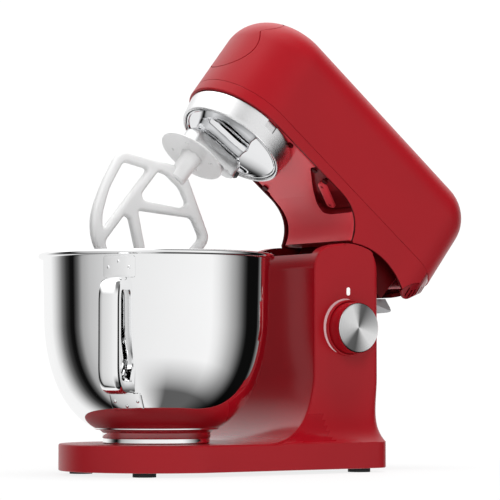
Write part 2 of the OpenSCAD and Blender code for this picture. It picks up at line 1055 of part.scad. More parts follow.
// ---- beater, turning in the hub ----

beater_top = 191;

module splash_guard() {
    color(cast)
        planet()
        difference() {
            translate([0, 0, beater_top]) cylinder(r = 34, h = 2.2);
            translate([0, 0, beater_top - 5]) cylinder(r = 4.5, h = 20);
        }
}

// The outlines of the flat beater, (across, height), below its guard.
function beater_frame(w, h) = rounded([
    [-9, -20], [-w + 2, -49], [-w - 1, -58], [-w + 4, -90], [-w + 13, -120],
    [-w + 28, -138], [-16, -h], [16, -h], [w - 28, -138], [w - 13, -120],
    [w - 4, -90], [w + 1, -58], [w - 2, -49], [9, -20]
], 3.5);
function beater_windows(w, h) = [
    // beside the stem
    rounded([[-w + 9, -57], [-31, -44], [-34, -123], [-w + 23, -113], [-w + 13, -88]], 3),
    // between the stem and the upper leg
    rounded([[-21, -38], [-11, -34], [9, -34], [24, -41], [22, -48], [-16, -71], [-22, -68]], 3),
    // between the two legs
    rounded([
        [37, -48], [w - 9, -57], [w - 13, -88], [w - 22, -113], [w - 30, -124], [-15, -83]
    ], 3),
    // under the lower leg
    rounded([[-24, -97], [-18, -95], [29, -130], [15, -h + 10], [-14, -h + 10], [-25, -131]], 3)
];

// The flat beater: a frame with a K-shaped web, hung from a round boss.
module k_beater() {
    color(cast)
        planet()
        translate([0, 0, beater_top])
        rotate([0, 0, 90])
        difference() {
            union() {
                translate([0, 0, -32]) cylinder(r = 9.5, h = 32);
                rotate([90, 0, 0])
                    linear_extrude(beater_t, center = true)
                    polygon(beater_frame(beater_half_w, beater_h));
            }
            for (window = beater_windows(beater_half_w, beater_h))
                rotate([90, 0, 0])
                    linear_extrude(2 * beater_t, center = true) polygon(window);
            translate([0, 0, -18]) cylinder(r = 4.5, h = 40);
        }
}

// The planet's spindle, the beater's stem in it and the cross pin that drives it.
module beater_shaft() {
    color(steel)
        planet() {
            translate([0, 0, beater_top - 18]) cylinder(r = 4.5, h = 18 + 6);
            translate([0, 0, beater_top + 5]) cylinder(r = 6, h = floor_z - 1 - beater_top - 5);
            translate([-7.5, 0, beater_top + 4]) rotate([0, 90, 0]) cylinder(r = 1.5, h = 15);
        }
}

module planet_pinion() {
    color(steel)
        planet()
        translate([0, 0, 235.5])
        difference() {
            gear(planet_teeth, planet_module, 7, planet_dir * (1 - ring_teeth / planet_teeth));
            translate([0, 0, -1]) cylinder(r = 6, h = 20);
        }
}

// ---- motor ----

module motor_armature() {
    color("#8a5a2e")
        head()
        translate([0, motor_y, 0]) {
            tube(289, 24, 4, 24);
            tube(316, 12, 4, 10);
        }
}

module motor_shaft() {
    color(steel)
        head()
        translate([0, motor_y, 263])
        cylinder(r = 4, h = 75);
}

module motor_fan() {
    color(dark)
        head()
        translate([0, motor_y, 283])
        difference() {
            union() {
                cylinder(r = 8, h = 5);
                for (a = [0:30:330])
                    rotate([0, 0, a]) translate([7, -0.7, 0]) cube([14, 1.4, 4.5]);
            }
            translate([0, 0, -1]) cylinder(r = 4, h = 10);
        }
}

module flanged_pulley(r, bore, h) {
    difference() {
        union() {
            cylinder(r = r, h = h);
            cylinder(r = r + 1.6, h = 0.8);
            translate([0, 0, h - 0.8]) cylinder(r = r + 1.6, h = 0.8);
        }
        translate([0, 0, -1]) cylinder(r = bore, h = h + 2);
    }
}

module motor_pulley() {
    color(steel)
        head()
        translate([0, motor_y, belt_z]) flanged_pulley(11, 4, 9);
}

module belt_pulley() {
    color("#55575b")
        head()
        translate([0, pinion_y, belt_z])
        difference() {
            flanged_pulley(33, 5, 9);
            for (a = [0:60:300])
                rotate([0, 0, a]) translate([19, 0, -1]) cylinder(r = 6.5, h = 20);
        }
}

module pinion_shaft() {
    color(steel)
        head()
        translate([0, pinion_y, 0]) {
            translate([0, 0, floor_z]) cylinder(r = 5, h = belt_z + 11 - floor_z);
            translate([0, 0, 250]) gear(pinion_teeth, drive_module, 7, 180 / pinion_teeth + 270);
        }
}

// The nose outlet's shaft: a pinion on the crown teeth and a square socket in front.
module outlet_shaft() {
    teeth = 12;
    color(steel)
        head()
        translate([0, 0, outlet_z])
        rotate([90, 0, 0])
        difference() {
            union() {
                translate([0, 0, 12]) cylinder(r = 6, h = 38);
                translate([0, 0, 15])
                    linear_extrude(6)
                    polygon([
                        for (k = [0:teeth - 1])
                            let(a = 360 * k / teeth - 90)
                            each [
                                8 * [cos(a - 9), sin(a - 9)], 9.8 * [cos(a - 3.5), sin(a - 3.5)],
                                9.8 * [cos(a + 3.5), sin(a + 3.5)], 8 * [cos(a + 9), sin(a + 9)]
                            ]
                    ]);
                translate([0, 0, 45]) cylinder(r = 9, h = 8);
            }
            translate([-4, -4, 44]) cube([8, 8, 20]);
        }
}

pedestal();
bottom_cover();
rubber_feet();
base_screws();
bowl_seat();
seat_screws();
hinge_bracket();
bracket_screws();
hinge_pin();
dial_bezel();
dial_arc();
speed_control();
indicator_lens();
control_board();
cord_grommet();
lever_pin();
lift_lever();
speed_knob();
knob_cap();
knob_shaft();
mixing_bowl();
bowl_foot();
bowl_handle();
head_cover();
head_skirt();
head_frame();
hinge_bushes();
hub_ring();
ring_tab();
gearbox_housing();
ring_gear();
shaft_bearings();
motor_frame();
motor_stator();
carbon_brushes();
motor_bearings();
drive_belt();
outlet_bearing();
rear_vent();
frame_screws();
outlet_cover();
hub_dish();
socket_block();
hub_shaft();
hub_gear();
crown_gear();
planet_bearings();
k_beater();
splash_guard();
beater_shaft();
planet_pinion();
motor_armature();
motor_shaft();
motor_fan();
motor_pulley();
belt_pulley();
pinion_shaft();
outlet_shaft();
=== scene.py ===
"""Looks of the tilt-head stand mixer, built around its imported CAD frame.

Shapes are drawn in millimetres in the frames of the CAD: STAND has its origin under the bowl's axis,
HEAD is the head lowered and then raised about the hinge, and PLANET is HEAD about the beater's axis.
"""
import math

import bmesh
import bpy
from mathutils import Matrix, Vector
from mathutils.geometry import delaunay_2d_cdt


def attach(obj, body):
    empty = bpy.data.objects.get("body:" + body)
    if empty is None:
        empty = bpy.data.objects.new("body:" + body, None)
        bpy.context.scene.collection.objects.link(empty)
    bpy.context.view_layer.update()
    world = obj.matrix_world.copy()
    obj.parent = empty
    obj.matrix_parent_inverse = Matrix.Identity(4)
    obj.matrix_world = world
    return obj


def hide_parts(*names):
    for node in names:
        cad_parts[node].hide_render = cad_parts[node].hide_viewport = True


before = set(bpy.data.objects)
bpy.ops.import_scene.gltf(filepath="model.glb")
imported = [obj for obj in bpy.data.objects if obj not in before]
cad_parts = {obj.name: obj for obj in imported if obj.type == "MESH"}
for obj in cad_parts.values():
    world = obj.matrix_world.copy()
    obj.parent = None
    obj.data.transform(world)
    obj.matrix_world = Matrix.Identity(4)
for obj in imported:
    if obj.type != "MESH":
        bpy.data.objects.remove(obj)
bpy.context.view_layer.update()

MM = 0.001
BOWL_Y = -120.0
HINGE_Y, HINGE_Z = 185.0, 148.0
TILT = math.radians(38.5)
PLANET_OFFSET, PLANET_DIR = 26.0, math.radians(228)
HANDLE_DIR = math.radians(-51.8)
KNOB_Y, KNOB_Z = 186.0, 141.0

STAND = Matrix.Translation((0, BOWL_Y * MM, 0)) @ Matrix.Scale(MM, 4)
HEAD = (
    Matrix.Translation((0, (HINGE_Y + BOWL_Y) * MM, HINGE_Z * MM))
    @ Matrix.Rotation(-TILT, 4, "X")
    @ Matrix.Scale(MM, 4)
    @ Matrix.Translation((0, -HINGE_Y, -HINGE_Z))
)
PLANET = HEAD @ Matrix.Translation(
    (PLANET_OFFSET * math.cos(PLANET_DIR), PLANET_OFFSET * math.sin(PLANET_DIR), 0)
)


# ------------------------ camera

CAMERA_AT = (1.96687, -1.41282, 0.090)
CAMERA_PITCH, CAMERA_TURN = math.radians(93.037), math.radians(54.5)
LENS_MM, SENSOR_MM = 176.4, 36


def new_object(name, data):
    """An object, linked into the scene."""
    obj = bpy.data.objects.new(name, data)
    bpy.context.scene.collection.objects.link(obj)
    return obj


def make_camera():
    data = bpy.data.cameras.new("camera")
    data.lens, data.sensor_width = LENS_MM, SENSOR_MM
    data.clip_start, data.clip_end = 0.05, 100
    camera = new_object("camera", data)
    camera.location = CAMERA_AT
    camera.rotation_euler = (CAMERA_PITCH, 0, CAMERA_TURN)
    bpy.context.scene.camera = camera


make_camera()


# ------------------------ outlines

def arc(cx, cy, r, a0, a1, n=12):
    """Points along an arc, angles in degrees."""
    step = math.radians(a1 - a0) / n
    start = math.radians(a0)
    return [(cx + r * math.cos(start + step * i), cy + r * math.sin(start + step * i)) for i in range(n + 1)]


def curve(p, q, r, s, n=10):
    """Points along a cubic curve with four control points."""
    points = []
    for i in range(n + 1):
        t = i / n
        u = 1 - t
        a, b, c, d = u * u * u, 3 * u * u * t, 3 * u * t * t, t * t * t
        points.append(tuple(a * w + b * x + c * y + d * z for w, x, y, z in zip(p, q, r, s)))
    return points


def line(p, q, n):
    """Points from p up to, but not including, q."""
    return [tuple(a + (b - a) * i / n for a, b in zip(p, q)) for i in range(n)]


def tidy(points, gap=0.02):
    """A closed outline without doubled points."""
    out = []
    for p in points:
        if not out or math.dist(p, out[-1]) > gap:
            out.append(tuple(p))
    while math.dist(out[0], out[-1]) < gap:
        out.pop()
    return out


def area(points):
    return sum(a[0] * b[1] - b[0] * a[1] for a, b in zip(points, points[1:] + points[:1])) / 2


def offset(points, d):
    """A counter-clockwise outline moved inwards by d."""
    n, out = len(points), []
    for i in range(n):
        p, a, b = Vector(points[i]), Vector(points[i - 1]), Vector(points[(i + 1) % n])
        u, v = (p - a).normalized(), (b - p).normalized()
        nu, nv = Vector((-u.y, u.x)), Vector((-v.y, v.x))
        m = (nu + nv) / max(0.35, 1 + nu.dot(nv))
        out.append(tuple(p + m * d))
    return out


def rounded(points, r, n=6):
    """An outline whose corners are rounded by a short curve that starts r away."""
    out, c = [], len(points)
    for i in range(c):
        p, a, b = Vector(points[i]), Vector(points[i - 1]), Vector(points[(i + 1) % c])
        radius = r[i] if isinstance(r, (list, tuple)) else r
        s = p + (a - p).normalized() * min(radius, (a - p).length * 0.48)
        e = p + (b - p).normalized() * min(radius, (b - p).length * 0.48)
        for k in range(n + 1):
            t = k / n
            out.append(tuple((1 - t) ** 2 * s + 2 * t * (1 - t) * p + t * t * e))
    return tidy(out)


def both_sides(half):
    """Half a ring, from axis to axis, and its mirror image in X."""
    return half + [(-p[0], *p[1:]) for p in half[-2:0:-1]]


def heading(path, k):
    """The direction of a path at its point k."""
    a, b = path[max(0, k - 1)], path[min(len(path) - 1, k + 1)]
    return Vector((b[0] - a[0], b[1] - a[1])).normalized()


def smooth_step(x):
    x = min(1, max(0, x))
    return x * x * (3 - 2 * x)


# ------------------------ meshes

def mesh_object(name, bm):
    mesh = bpy.data.meshes.new(name)
    bm.to_mesh(mesh)
    bm.free()
    return new_object(name, mesh)


def piece(name, verts, faces, body, slot, material, place=STAND, replaces=(), sharp=32, origin=None):
    """A finished piece from points in millimetres: welded, outward facing and smooth except at its edges."""
    bm = bmesh.new()
    rows = [bm.verts.new(place @ Vector(v)) for v in verts]
    for f in faces:
        ids = list(dict.fromkeys(f))
        if len(ids) > 2:
            try:
                bm.faces.new([rows[i] for i in ids])
            except ValueError:
                pass
    bmesh.ops.remove_doubles(bm, verts=bm.verts[:], dist=2e-6)
    bmesh.ops.dissolve_degenerate(bm, edges=bm.edges[:], dist=1e-6)
    bmesh.ops.recalc_face_normals(bm, faces=bm.faces[:])
    if origin is not None:
        bmesh.ops.translate(bm, verts=bm.verts[:], vec=-Vector(origin))
    obj = mesh_object(name, bm)
    if origin is not None:
        obj.location = origin
    obj.data.materials.append(material)
    finish_surface(obj, sharp)
    if body:
        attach(obj, body)
    if replaces:
        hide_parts(*replaces)
    return obj


def finish_surface(obj, sharp):
    """Smooth shading, except at edges that turn by more than sharp degrees."""
    obj.data.shade_smooth()
    obj.data.set_sharp_from_angle(angle=math.radians(sharp))


def settle_normals(obj):
    """Flat faces stay flat beside the small faces of their rounded edges."""
    m = obj.modifiers.new("normals", "WEIGHTED_NORMAL")
    m.keep_sharp = True
    m.weight = 80


def loft(rings, closed=True, caps=True):
    """Faces through rings that have the same number of points."""
    n = len(rings[0])
    verts = [p for ring in rings for p in ring]
    faces = []
    for i in range(len(rings) - 1):
        for j in range(n if closed else n - 1):
            k = (j + 1) % n
            faces.append((i * n + j, i * n + k, (i + 1) * n + k, (i + 1) * n + j))
    if caps:
        faces.append(tuple(range(n)))
        faces.append(tuple(range((len(rings) - 1) * n, len(rings) * n)))
    return verts, faces


def lathe(profile, n=96):
    """A closed profile, (radius, height), turned round Z."""
    rings = []
    for i in range(n):
        a = 2 * math.pi * i / n
        rings.append([(r * math.cos(a), r * math.sin(a), z) for r, z in profile])
    return loft(rings + rings[:1], caps=False)


def inside(point, loops):
    """Whether a point is in an outline and in none of its holes."""
    x, y = point
    odd = False
    for loop in loops:
        for (x0, y0), (x1, y1) in zip(loop, loop[1:] + loop[:1]):
            if (y0 > y) != (y1 > y) and x < x0 + (x1 - x0) * (y - y0) / (y1 - y0):
                odd = not odd
    return odd


def cap_faces(loops, base):
    """Triangles that fill an outline with holes. base is the first index of each loop."""
    points, edges, index = [], [], []
    for loop, first in zip(loops, base):
        start = len(points)
        for i, p in enumerate(loop):
            points.append(Vector(p))
            edges.append((start + i, start + (i + 1) % len(loop)))
            index.append(first + i)
    placed, _, triangles, source, _, _ = delaunay_2d_cdt(points, edges, [], 0, 1e-5)
    kept = [t for t in triangles if inside(sum((placed[v] for v in t), Vector((0, 0))) / 3, loops)]
    return [tuple(index[source[v][0]] for v in t) for t in kept]


def plate(outline, holes, layers):
    """An outline with holes, stacked through layers of (inset, height)."""
    loops = [outline if area(outline) > 0 else outline[::-1]]
    loops += [h if area(h) > 0 else h[::-1] for h in holes]
    verts, faces, starts = [], [], []
    flats = []
    for inset, z in layers:
        row, flat = [], []
        for k, loop in enumerate(loops):
            edge = offset(loop, inset if k == 0 else -inset)
            row.append(len(verts))
            flat.append(edge)
            verts += [(x, y, z) for x, y in edge]
        starts.append(row)
        flats.append(flat)
    for a, b in zip(starts, starts[1:]):
        for k, loop in enumerate(loops):
            n = len(loop)
            for j in range(n):
                i = (j + 1) % n
                faces.append((a[k] + j, a[k] + i, b[k] + i, b[k] + j))
    faces += cap_faces(flats[0], starts[0]) + cap_faces(flats[-1], starts[-1])
    return verts, faces


def edge_layers(z0, z1, r, n=4):
    """Layers for a plate between two heights whose edges are rounded by r."""
    angles = [math.pi / 2 * i / n for i in range(n + 1)]
    low = [(r * (1 - math.sin(t)), z0 + r * (1 - math.cos(t))) for t in angles]
    high = [(r * (1 - math.cos(t)), z1 - r * (1 - math.sin(t))) for t in angles]
    return low + high


def turned(verts, matrix):
    return [tuple(matrix @ Vector(v)) for v in verts]


def moved(verts, dx, dy, dz=0):
    return [(x + dx, y + dy, z + dz) for x, y, z in verts]


def joined(*parts):
    """Several shapes as one, each given as (verts, faces)."""
    verts, faces = [], []
    for v, f in parts:
        base = len(verts)
        verts += v
        faces += [tuple(base + i for i in face) for face in f]
    return verts, faces


def cut(obj, verts, faces, place, how="DIFFERENCE", sharp=32, painted_shade=None):
    """Cuts a shape out of a piece and keeps the result as its mesh. The cut's own faces may take a darker
    material, painted shade for the walls of the hollow.
    """
    tool = piece("cutter", verts, faces, None, None, obj.data.materials[0], place)
    if painted_shade:
        if painted_shade.name not in obj.data.materials:
            obj.data.materials.append(painted_shade)
        for m in obj.data.materials[1:]:
            tool.data.materials.append(m)
        at = obj.data.materials.find(painted_shade.name)
        for p in tool.data.polygons:
            p.material_index = at
    modifier = obj.modifiers.new("cut", "BOOLEAN")
    modifier.operation, modifier.solver, modifier.object = how, "MANIFOLD", tool
    bpy.context.view_layer.update()
    result = bpy.data.meshes.new_from_object(obj.evaluated_get(bpy.context.evaluated_depsgraph_get()))
    obj.modifiers.clear()
    old, obj.data = obj.data, result
    result.name = obj.name
    bpy.data.objects.remove(tool)
    bpy.data.meshes.remove(old)
    finish_surface(obj, sharp)


def repaint(obj, material, chosen):
    """Gives the faces that chosen(centre, normal) picks a second material."""
    obj.data.materials.append(material)
    at = len(obj.data.materials) - 1
    for p in obj.data.polygons:
        if chosen(p.center, p.normal):
            p.material_index = at


def prism(outline, x0, x1):
    """A side-view outline, (y, z), drawn out along X."""
    return loft([[(x0, y, z) for y, z in outline], [(x1, y, z) for y, z in outline]])


# ------------------------ materials

def add_node(tree, kind, inputs={}, **settings):
    """A node with its settings and its inputs, {socket: a value or the output that feeds it}."""
    node = tree.nodes.new("ShaderNode" + kind)
    for key, value in settings.items():
        setattr(node, key, value)
    for socket, value in inputs.items():
        if isinstance(value, bpy.types.NodeSocket):
            tree.links.new(value, node.inputs[socket])
        else:
            node.inputs[socket].default_value = value
    return node


def shader(name, colour, roughness, metallic=0.0, coat=0.0, coat_roughness=0.03, specular=0.5):
    """A Principled material, its nodes and the Principled one among them."""
    material = bpy.data.materials.new(name)
    material.use_nodes = True
    tree = material.node_tree
    tree.nodes.clear()
    p = add_node(tree, "BsdfPrincipled", {
        "Base Color": (*colour, 1), "Roughness": roughness, "Metallic": metallic,
        "Coat Weight": coat, "Coat Roughness": coat_roughness, "Specular IOR Level": specular,
    })
    add_node(tree, "OutputMaterial", {"Surface": p.outputs["BSDF"]})
    return material, tree, p


def texture(tree, scale, detail=3.0, stretch=(1, 1, 1)):
    """Noise in the piece's own metres."""
    where = add_node(tree, "TexCoord").outputs["Object"]
    mapping = add_node(tree, "Mapping", {"Vector": where, "Scale": stretch})
    return add_node(tree, "TexNoise", {"Vector": mapping.outputs["Vector"], "Scale": scale, "Detail": detail})


NOISE_LOW, NOISE_HIGH = 0.3, 0.7


def ranged(tree, noise, low, high, target):
    """The noise mapped to a range of values."""
    node = add_node(tree, "MapRange", {
        "Value": noise.outputs["Fac"], "From Min": NOISE_LOW, "From Max": NOISE_HIGH,
        "To Min": low, "To Max": high,
    })
    tree.links.new(node.outputs["Result"], target)


def tinted(tree, noise, colour, share, target):
    """A colour that drifts a little with the noise."""
    ramp = add_node(tree, "ValToRGB", {"Fac": noise.outputs["Fac"]})
    first, last = ramp.color_ramp.elements
    first.position, last.position = NOISE_LOW, NOISE_HIGH
    first.color = (*(c * (1 - share) for c in colour), 1)
    last.color = (*(min(1, c * (1 + share)) for c in colour), 1)
    tree.links.new(ramp.outputs["Color"], target)


def bumped(tree, noise, strength, distance, target):
    """Relief from the noise, distance metres deep."""
    height = noise.outputs["Fac"]
    bump = add_node(tree, "Bump", {"Height": height, "Strength": strength, "Distance": distance})
    tree.links.new(bump.outputs["Normal"], target)


def finish(name, colour, roughness, metallic=0.0, grain=900, depth=0.00002, drift=0.04, spread=0.05,
           stretch=(1, 1, 1), strength=0.3, **gloss):
    """A material with fine relief, roughness that varies and colour that drifts."""
    material, tree, p = shader(name, colour, roughness, metallic, **gloss)
    fine = texture(tree, grain, 4, stretch)
    broad = texture(tree, 14, 2)
    tinted(tree, broad, colour, drift, p.inputs["Base Color"])
    ranged(tree, fine, roughness * (1 - spread), roughness * (1 + spread), p.inputs["Roughness"])
    bumped(tree, fine, strength, depth, p.inputs["Normal"])
    return material


SATIN_RED = finish("satin_red", (0.36, 0.0045, 0.011), 0.36, grain=1500, depth=0.00003, drift=0.03,
                   spread=0.12, strength=0.25, specular=0.3)
GLOSS_FRONT = finish("front_red", (0.34, 0.0045, 0.011), 0.16, grain=300, drift=0.02, strength=0.05,
                     specular=0.18)
# Painted light: a much lighter red than the paint elsewhere, standing in for the light thrown up onto the
# head's underside from below.
LIT_NECK_RED = finish("lit_neck_red", (0.86, 0.06, 0.08), 0.3, grain=260, drift=0.02, strength=0.05, coat=0.05,
                  coat_roughness=0.12, specular=0.3)
# Painted shade: a darker red for the walls of the pocket under the head.
POCKET_SHADE = finish("pocket_shade_red", (0.22, 0.006, 0.01), 0.35, grain=300, strength=0.05, specular=0.3)
PANEL_RED = finish("panel_red", (0.22, 0.003, 0.008), 0.2, grain=260, strength=0.05, coat=0.7,
                   coat_roughness=0.05, specular=0.3)
# Painted shade: a very dark red for faces deep in hollows, gaps and slots and for the parts there, standing
# in for the shade they lie in.
SHADE_RED = finish("shaded_red", (0.075, 0.0009, 0.002), 0.45, grain=700, strength=0.1, specular=0.12)
MIRROR = finish("polished_steel", (0.93, 0.932, 0.935), 0.045, 1.0, grain=700, depth=0.000004, drift=0.01,
                spread=0.35, stretch=(1, 1, 9), strength=0.08)
CHROME = finish("chrome", (0.83, 0.835, 0.845), 0.05, 1.0, grain=500, depth=0.000003, drift=0.01, spread=0.3,
                strength=0.05)
SATIN_CHROME = finish("satin_chrome", (0.82, 0.82, 0.825), 0.27, 1.0, depth=0.00001, drift=0.02,
                      stretch=(1, 1, 8), strength=0.12)
CAST = finish("cast_grey", (0.88, 0.88, 0.88), 0.38, 0.15, grain=1300, depth=0.00004, drift=0.03, spread=0.15)
SOCKET = finish("socket_steel", (0.70, 0.705, 0.71), 0.3, 0.85, grain=1200, spread=0.2, stretch=(1, 1, 6),
                strength=0.15)
STEEL = finish("turned_steel", (0.55, 0.555, 0.565), 0.28, 1.0, grain=1100, depth=0.00001, spread=0.25,
               stretch=(1, 1, 10), strength=0.2)
PLATE = finish("seat_metal", (0.5, 0.505, 0.515), 0.38, 1.0, depth=0.00003, spread=0.2)
DARK = finish("black_plastic", (0.012, 0.012, 0.013), 0.5, grain=1600, depth=0.00005, strength=0.4)
RUBBER = finish("rubber", (0.014, 0.014, 0.015), 0.75, grain=700, depth=0.00008, strength=0.5)
LEVER_GREY = finish("lever_grey", (0.46, 0.465, 0.475), 0.32, 0.3)
BRONZE = finish("bronze", (0.45, 0.28, 0.12), 0.35, 1.0, grain=1500)
DIE_CAST = finish("die_cast", (0.42, 0.425, 0.44), 0.5, 0.9, grain=600, depth=0.00008, strength=0.4)
COPPER = finish("copper_winding", (0.45, 0.16, 0.06), 0.35, 0.8, grain=350, depth=0.0002, stretch=(1, 1, 12),
                strength=0.6)
CARBON = finish("carbon", (0.025, 0.025, 0.027), 0.6, grain=1500, depth=0.00004)
NYLON = finish("pulley_plastic", (0.05, 0.05, 0.055), 0.45, depth=0.00003)
BOARD = finish("board", (0.02, 0.13, 0.05), 0.4, grain=500, depth=0.00003, drift=0.1)
PALE = finish("pale_mark", (0.74, 0.50, 0.52), 0.4, grain=1200, depth=0.00001)
LENS = finish("lamp_lens", (0.86, 0.86, 0.85), 0.22, grain=400, depth=0.00001, coat=0.6)
LENS_GLOW = LENS.node_tree.nodes["Principled BSDF"].inputs
LENS_GLOW["Emission Color"].default_value = (1, 1, 0.98, 1)
LENS_GLOW["Emission Strength"].default_value = 0.35


def banded(tree, value, bands, half):
    """Greys through bands of (degrees, level), where value runs 0 to 1 from -half to half degrees."""
    ramp = add_node(tree, "ValToRGB", {"Fac": value})
    stops = ramp.color_ramp.elements
    while len(stops) < len(bands):
        stops.new(0.5)
    for stop, (at, level) in zip(stops, bands):
        stop.position = (at + half) / (2 * half)
        stop.color = (level, level, level, 1)
    return ramp.outputs["Color"]


# Painted highlights: the lit and dark sectors painted into the knob face's colour, (degrees, brightness)
PAINTED_FAN = (
    (-180, 0.85), (-150, 0.62), (-128, 0.16), (-104, 0.12), (-84, 0.42), (-48, 0.98), (-22, 0.98),
    (8, 0.62), (46, 0.30), (68, 0.12), (82, 0.16), (96, 0.62), (112, 0.98), (150, 0.98), (180, 0.85),
)


def spun_material():
    """The knob's face: fine turned rings, and painted highlights in its colour that fan out from the middle.
    """
    material, tree, p = shader("spun_metal", (0.60, 0.605, 0.61), 0.26, 1.0)
    p.inputs["Anisotropic"].default_value = 0.85
    tangent = add_node(tree, "Tangent", direction_type="RADIAL", axis="X")
    tree.links.new(tangent.outputs["Tangent"], p.inputs["Tangent"])

    where = add_node(tree, "TexCoord").outputs["Object"]
    split = add_node(tree, "SeparateXYZ", {"Vector": where})
    y, z = split.outputs["Y"], split.outputs["Z"]
    flat = add_node(tree, "CombineXYZ", {"X": y, "Y": z}).outputs["Vector"]
    radius = add_node(tree, "VectorMath", {0: flat}, operation="LENGTH").outputs["Value"]
    ring = add_node(tree, "CombineXYZ", {"X": radius}).outputs["Vector"]
    noise = add_node(tree, "TexNoise", {"Vector": ring, "Scale": 2600, "Detail": 3})
    ranged(tree, noise, 0.2, 0.34, p.inputs["Roughness"])
    bumped(tree, noise, 0.12, 0.00001, p.inputs["Normal"])

    # Painted highlights: the colour brightens and darkens with the angle round the axis.
    angle = add_node(tree, "Math", {0: z, 1: y}, operation="ARCTAN2").outputs["Value"]
    lap = add_node(tree, "MapRange", {"Value": angle, "From Min": -math.pi, "From Max": math.pi})
    tree.links.new(banded(tree, lap.outputs["Result"], PAINTED_FAN, 180), p.inputs["Base Color"])
    return material


SPUN = spun_material()


# ------------------------ stand

PLINTH_R, PLINTH_TOP, FOOT_H = 93.5, 29.5, 4.0
TAPER = 2.67
CORNER_R, CORNER_X, CORNER_Y = 22.0, 61.0, 204.0
COLUMN_HALF, COLUMN_FRONT, COLUMN_BACK = 60.0, 145.0, 226.0
# Where the plinth's top begins to sweep up into the column
SIDE_Y = 64
SLOT_HALF, DOME_R = 47.5, 76.5
EDGE = 1.8
# How far the cheeks flare out, and their front view there, (half width, height)
FLARE_OUT = 26
FLARE = curve((COLUMN_HALF, 84), (61, 56), (68, 40), (COLUMN_HALF + FLARE_OUT, PLINTH_TOP), 60)
FLARE_SHARE = sorted((z, (w - COLUMN_HALF) / FLARE_OUT) for w, z in FLARE)


def between(x, table):
    """Linear interpolation in a table of (x, value), sorted by x."""
    if x <= table[0][0]:
        return table[0][1]
    for (x0, v0), (x1, v1) in zip(table, table[1:]):
        if x <= x1:
            return v0 + (v1 - v0) * (x - x0) / max(1e-9, x1 - x0)
    return table[-1][1]


def plinth_half(y):
    """Half the plinth's width along its straight sides."""
    t = math.radians(TAPER)
    x0, y0 = PLINTH_R * math.cos(t), -PLINTH_R * math.sin(t)
    x1, y1 = CORNER_X + CORNER_R * math.cos(t), CORNER_Y - CORNER_R * math.sin(t)
    return x0 + (x1 - x0) * (y - y0) / (y1 - y0)


def column_half(y, z):
    """Half the column's width: straight cheeks that flare out to the plinth's sides."""
    return COLUMN_HALF + (plinth_half(y) - COLUMN_HALF) * between(z, FLARE_SHARE)


def column_back_at(z):
    """Where the column's back lies, from the straight wall over the step to the dome."""
    if z <= 199:
        return COLUMN_BACK
    if z <= 213.2:
        return 208 + math.sqrt(18 ** 2 - (z - 199) ** 2)
    if z <= 216.8:
        return 219.1 - 0.6 * (z - 213.2) / 3.6
    return HINGE_Y + math.sqrt(max(0.01, DOME_R ** 2 - (z - HINGE_Z) ** 2))


def corner_at(z):
    """Radius of the rear corners: wide round the plinth, tighter up the column."""
    return CORNER_R - 14 * smooth_step((z - 32) / 60)


def column_profile():
    """The column's front, (y, z), from the plinth up the sweep and over the dome."""
    sweep = curve((SIDE_Y, PLINTH_TOP), (119, 30.4), (144, 60), (COLUMN_FRONT, 95), 26)
    wall = line((COLUMN_FRONT, 95), (COLUMN_FRONT, 198), 7)[1:]
    dome_end = arc(HINGE_Y, HINGE_Z, DOME_R, 111, 91.5, 8)
    x, z = dome_end[0]
    turn = curve((COLUMN_FRONT, 198), (COLUMN_FRONT, 208), (x - 7.4, z - 3.6), (x, z), 8)
    return sweep + wall + turn + dome_end[1:]


def side_run(first, y_end, z_end, n):
    """The column's side from its front edge back to the corner."""
    run = []
    for j in range(1, n + 1):
        t = j / n
        y, z = first[1] + (y_end - first[1]) * t, first[2] + (z_end - first[2]) * t
        run.append((column_half(y, z), y, z))
    return run


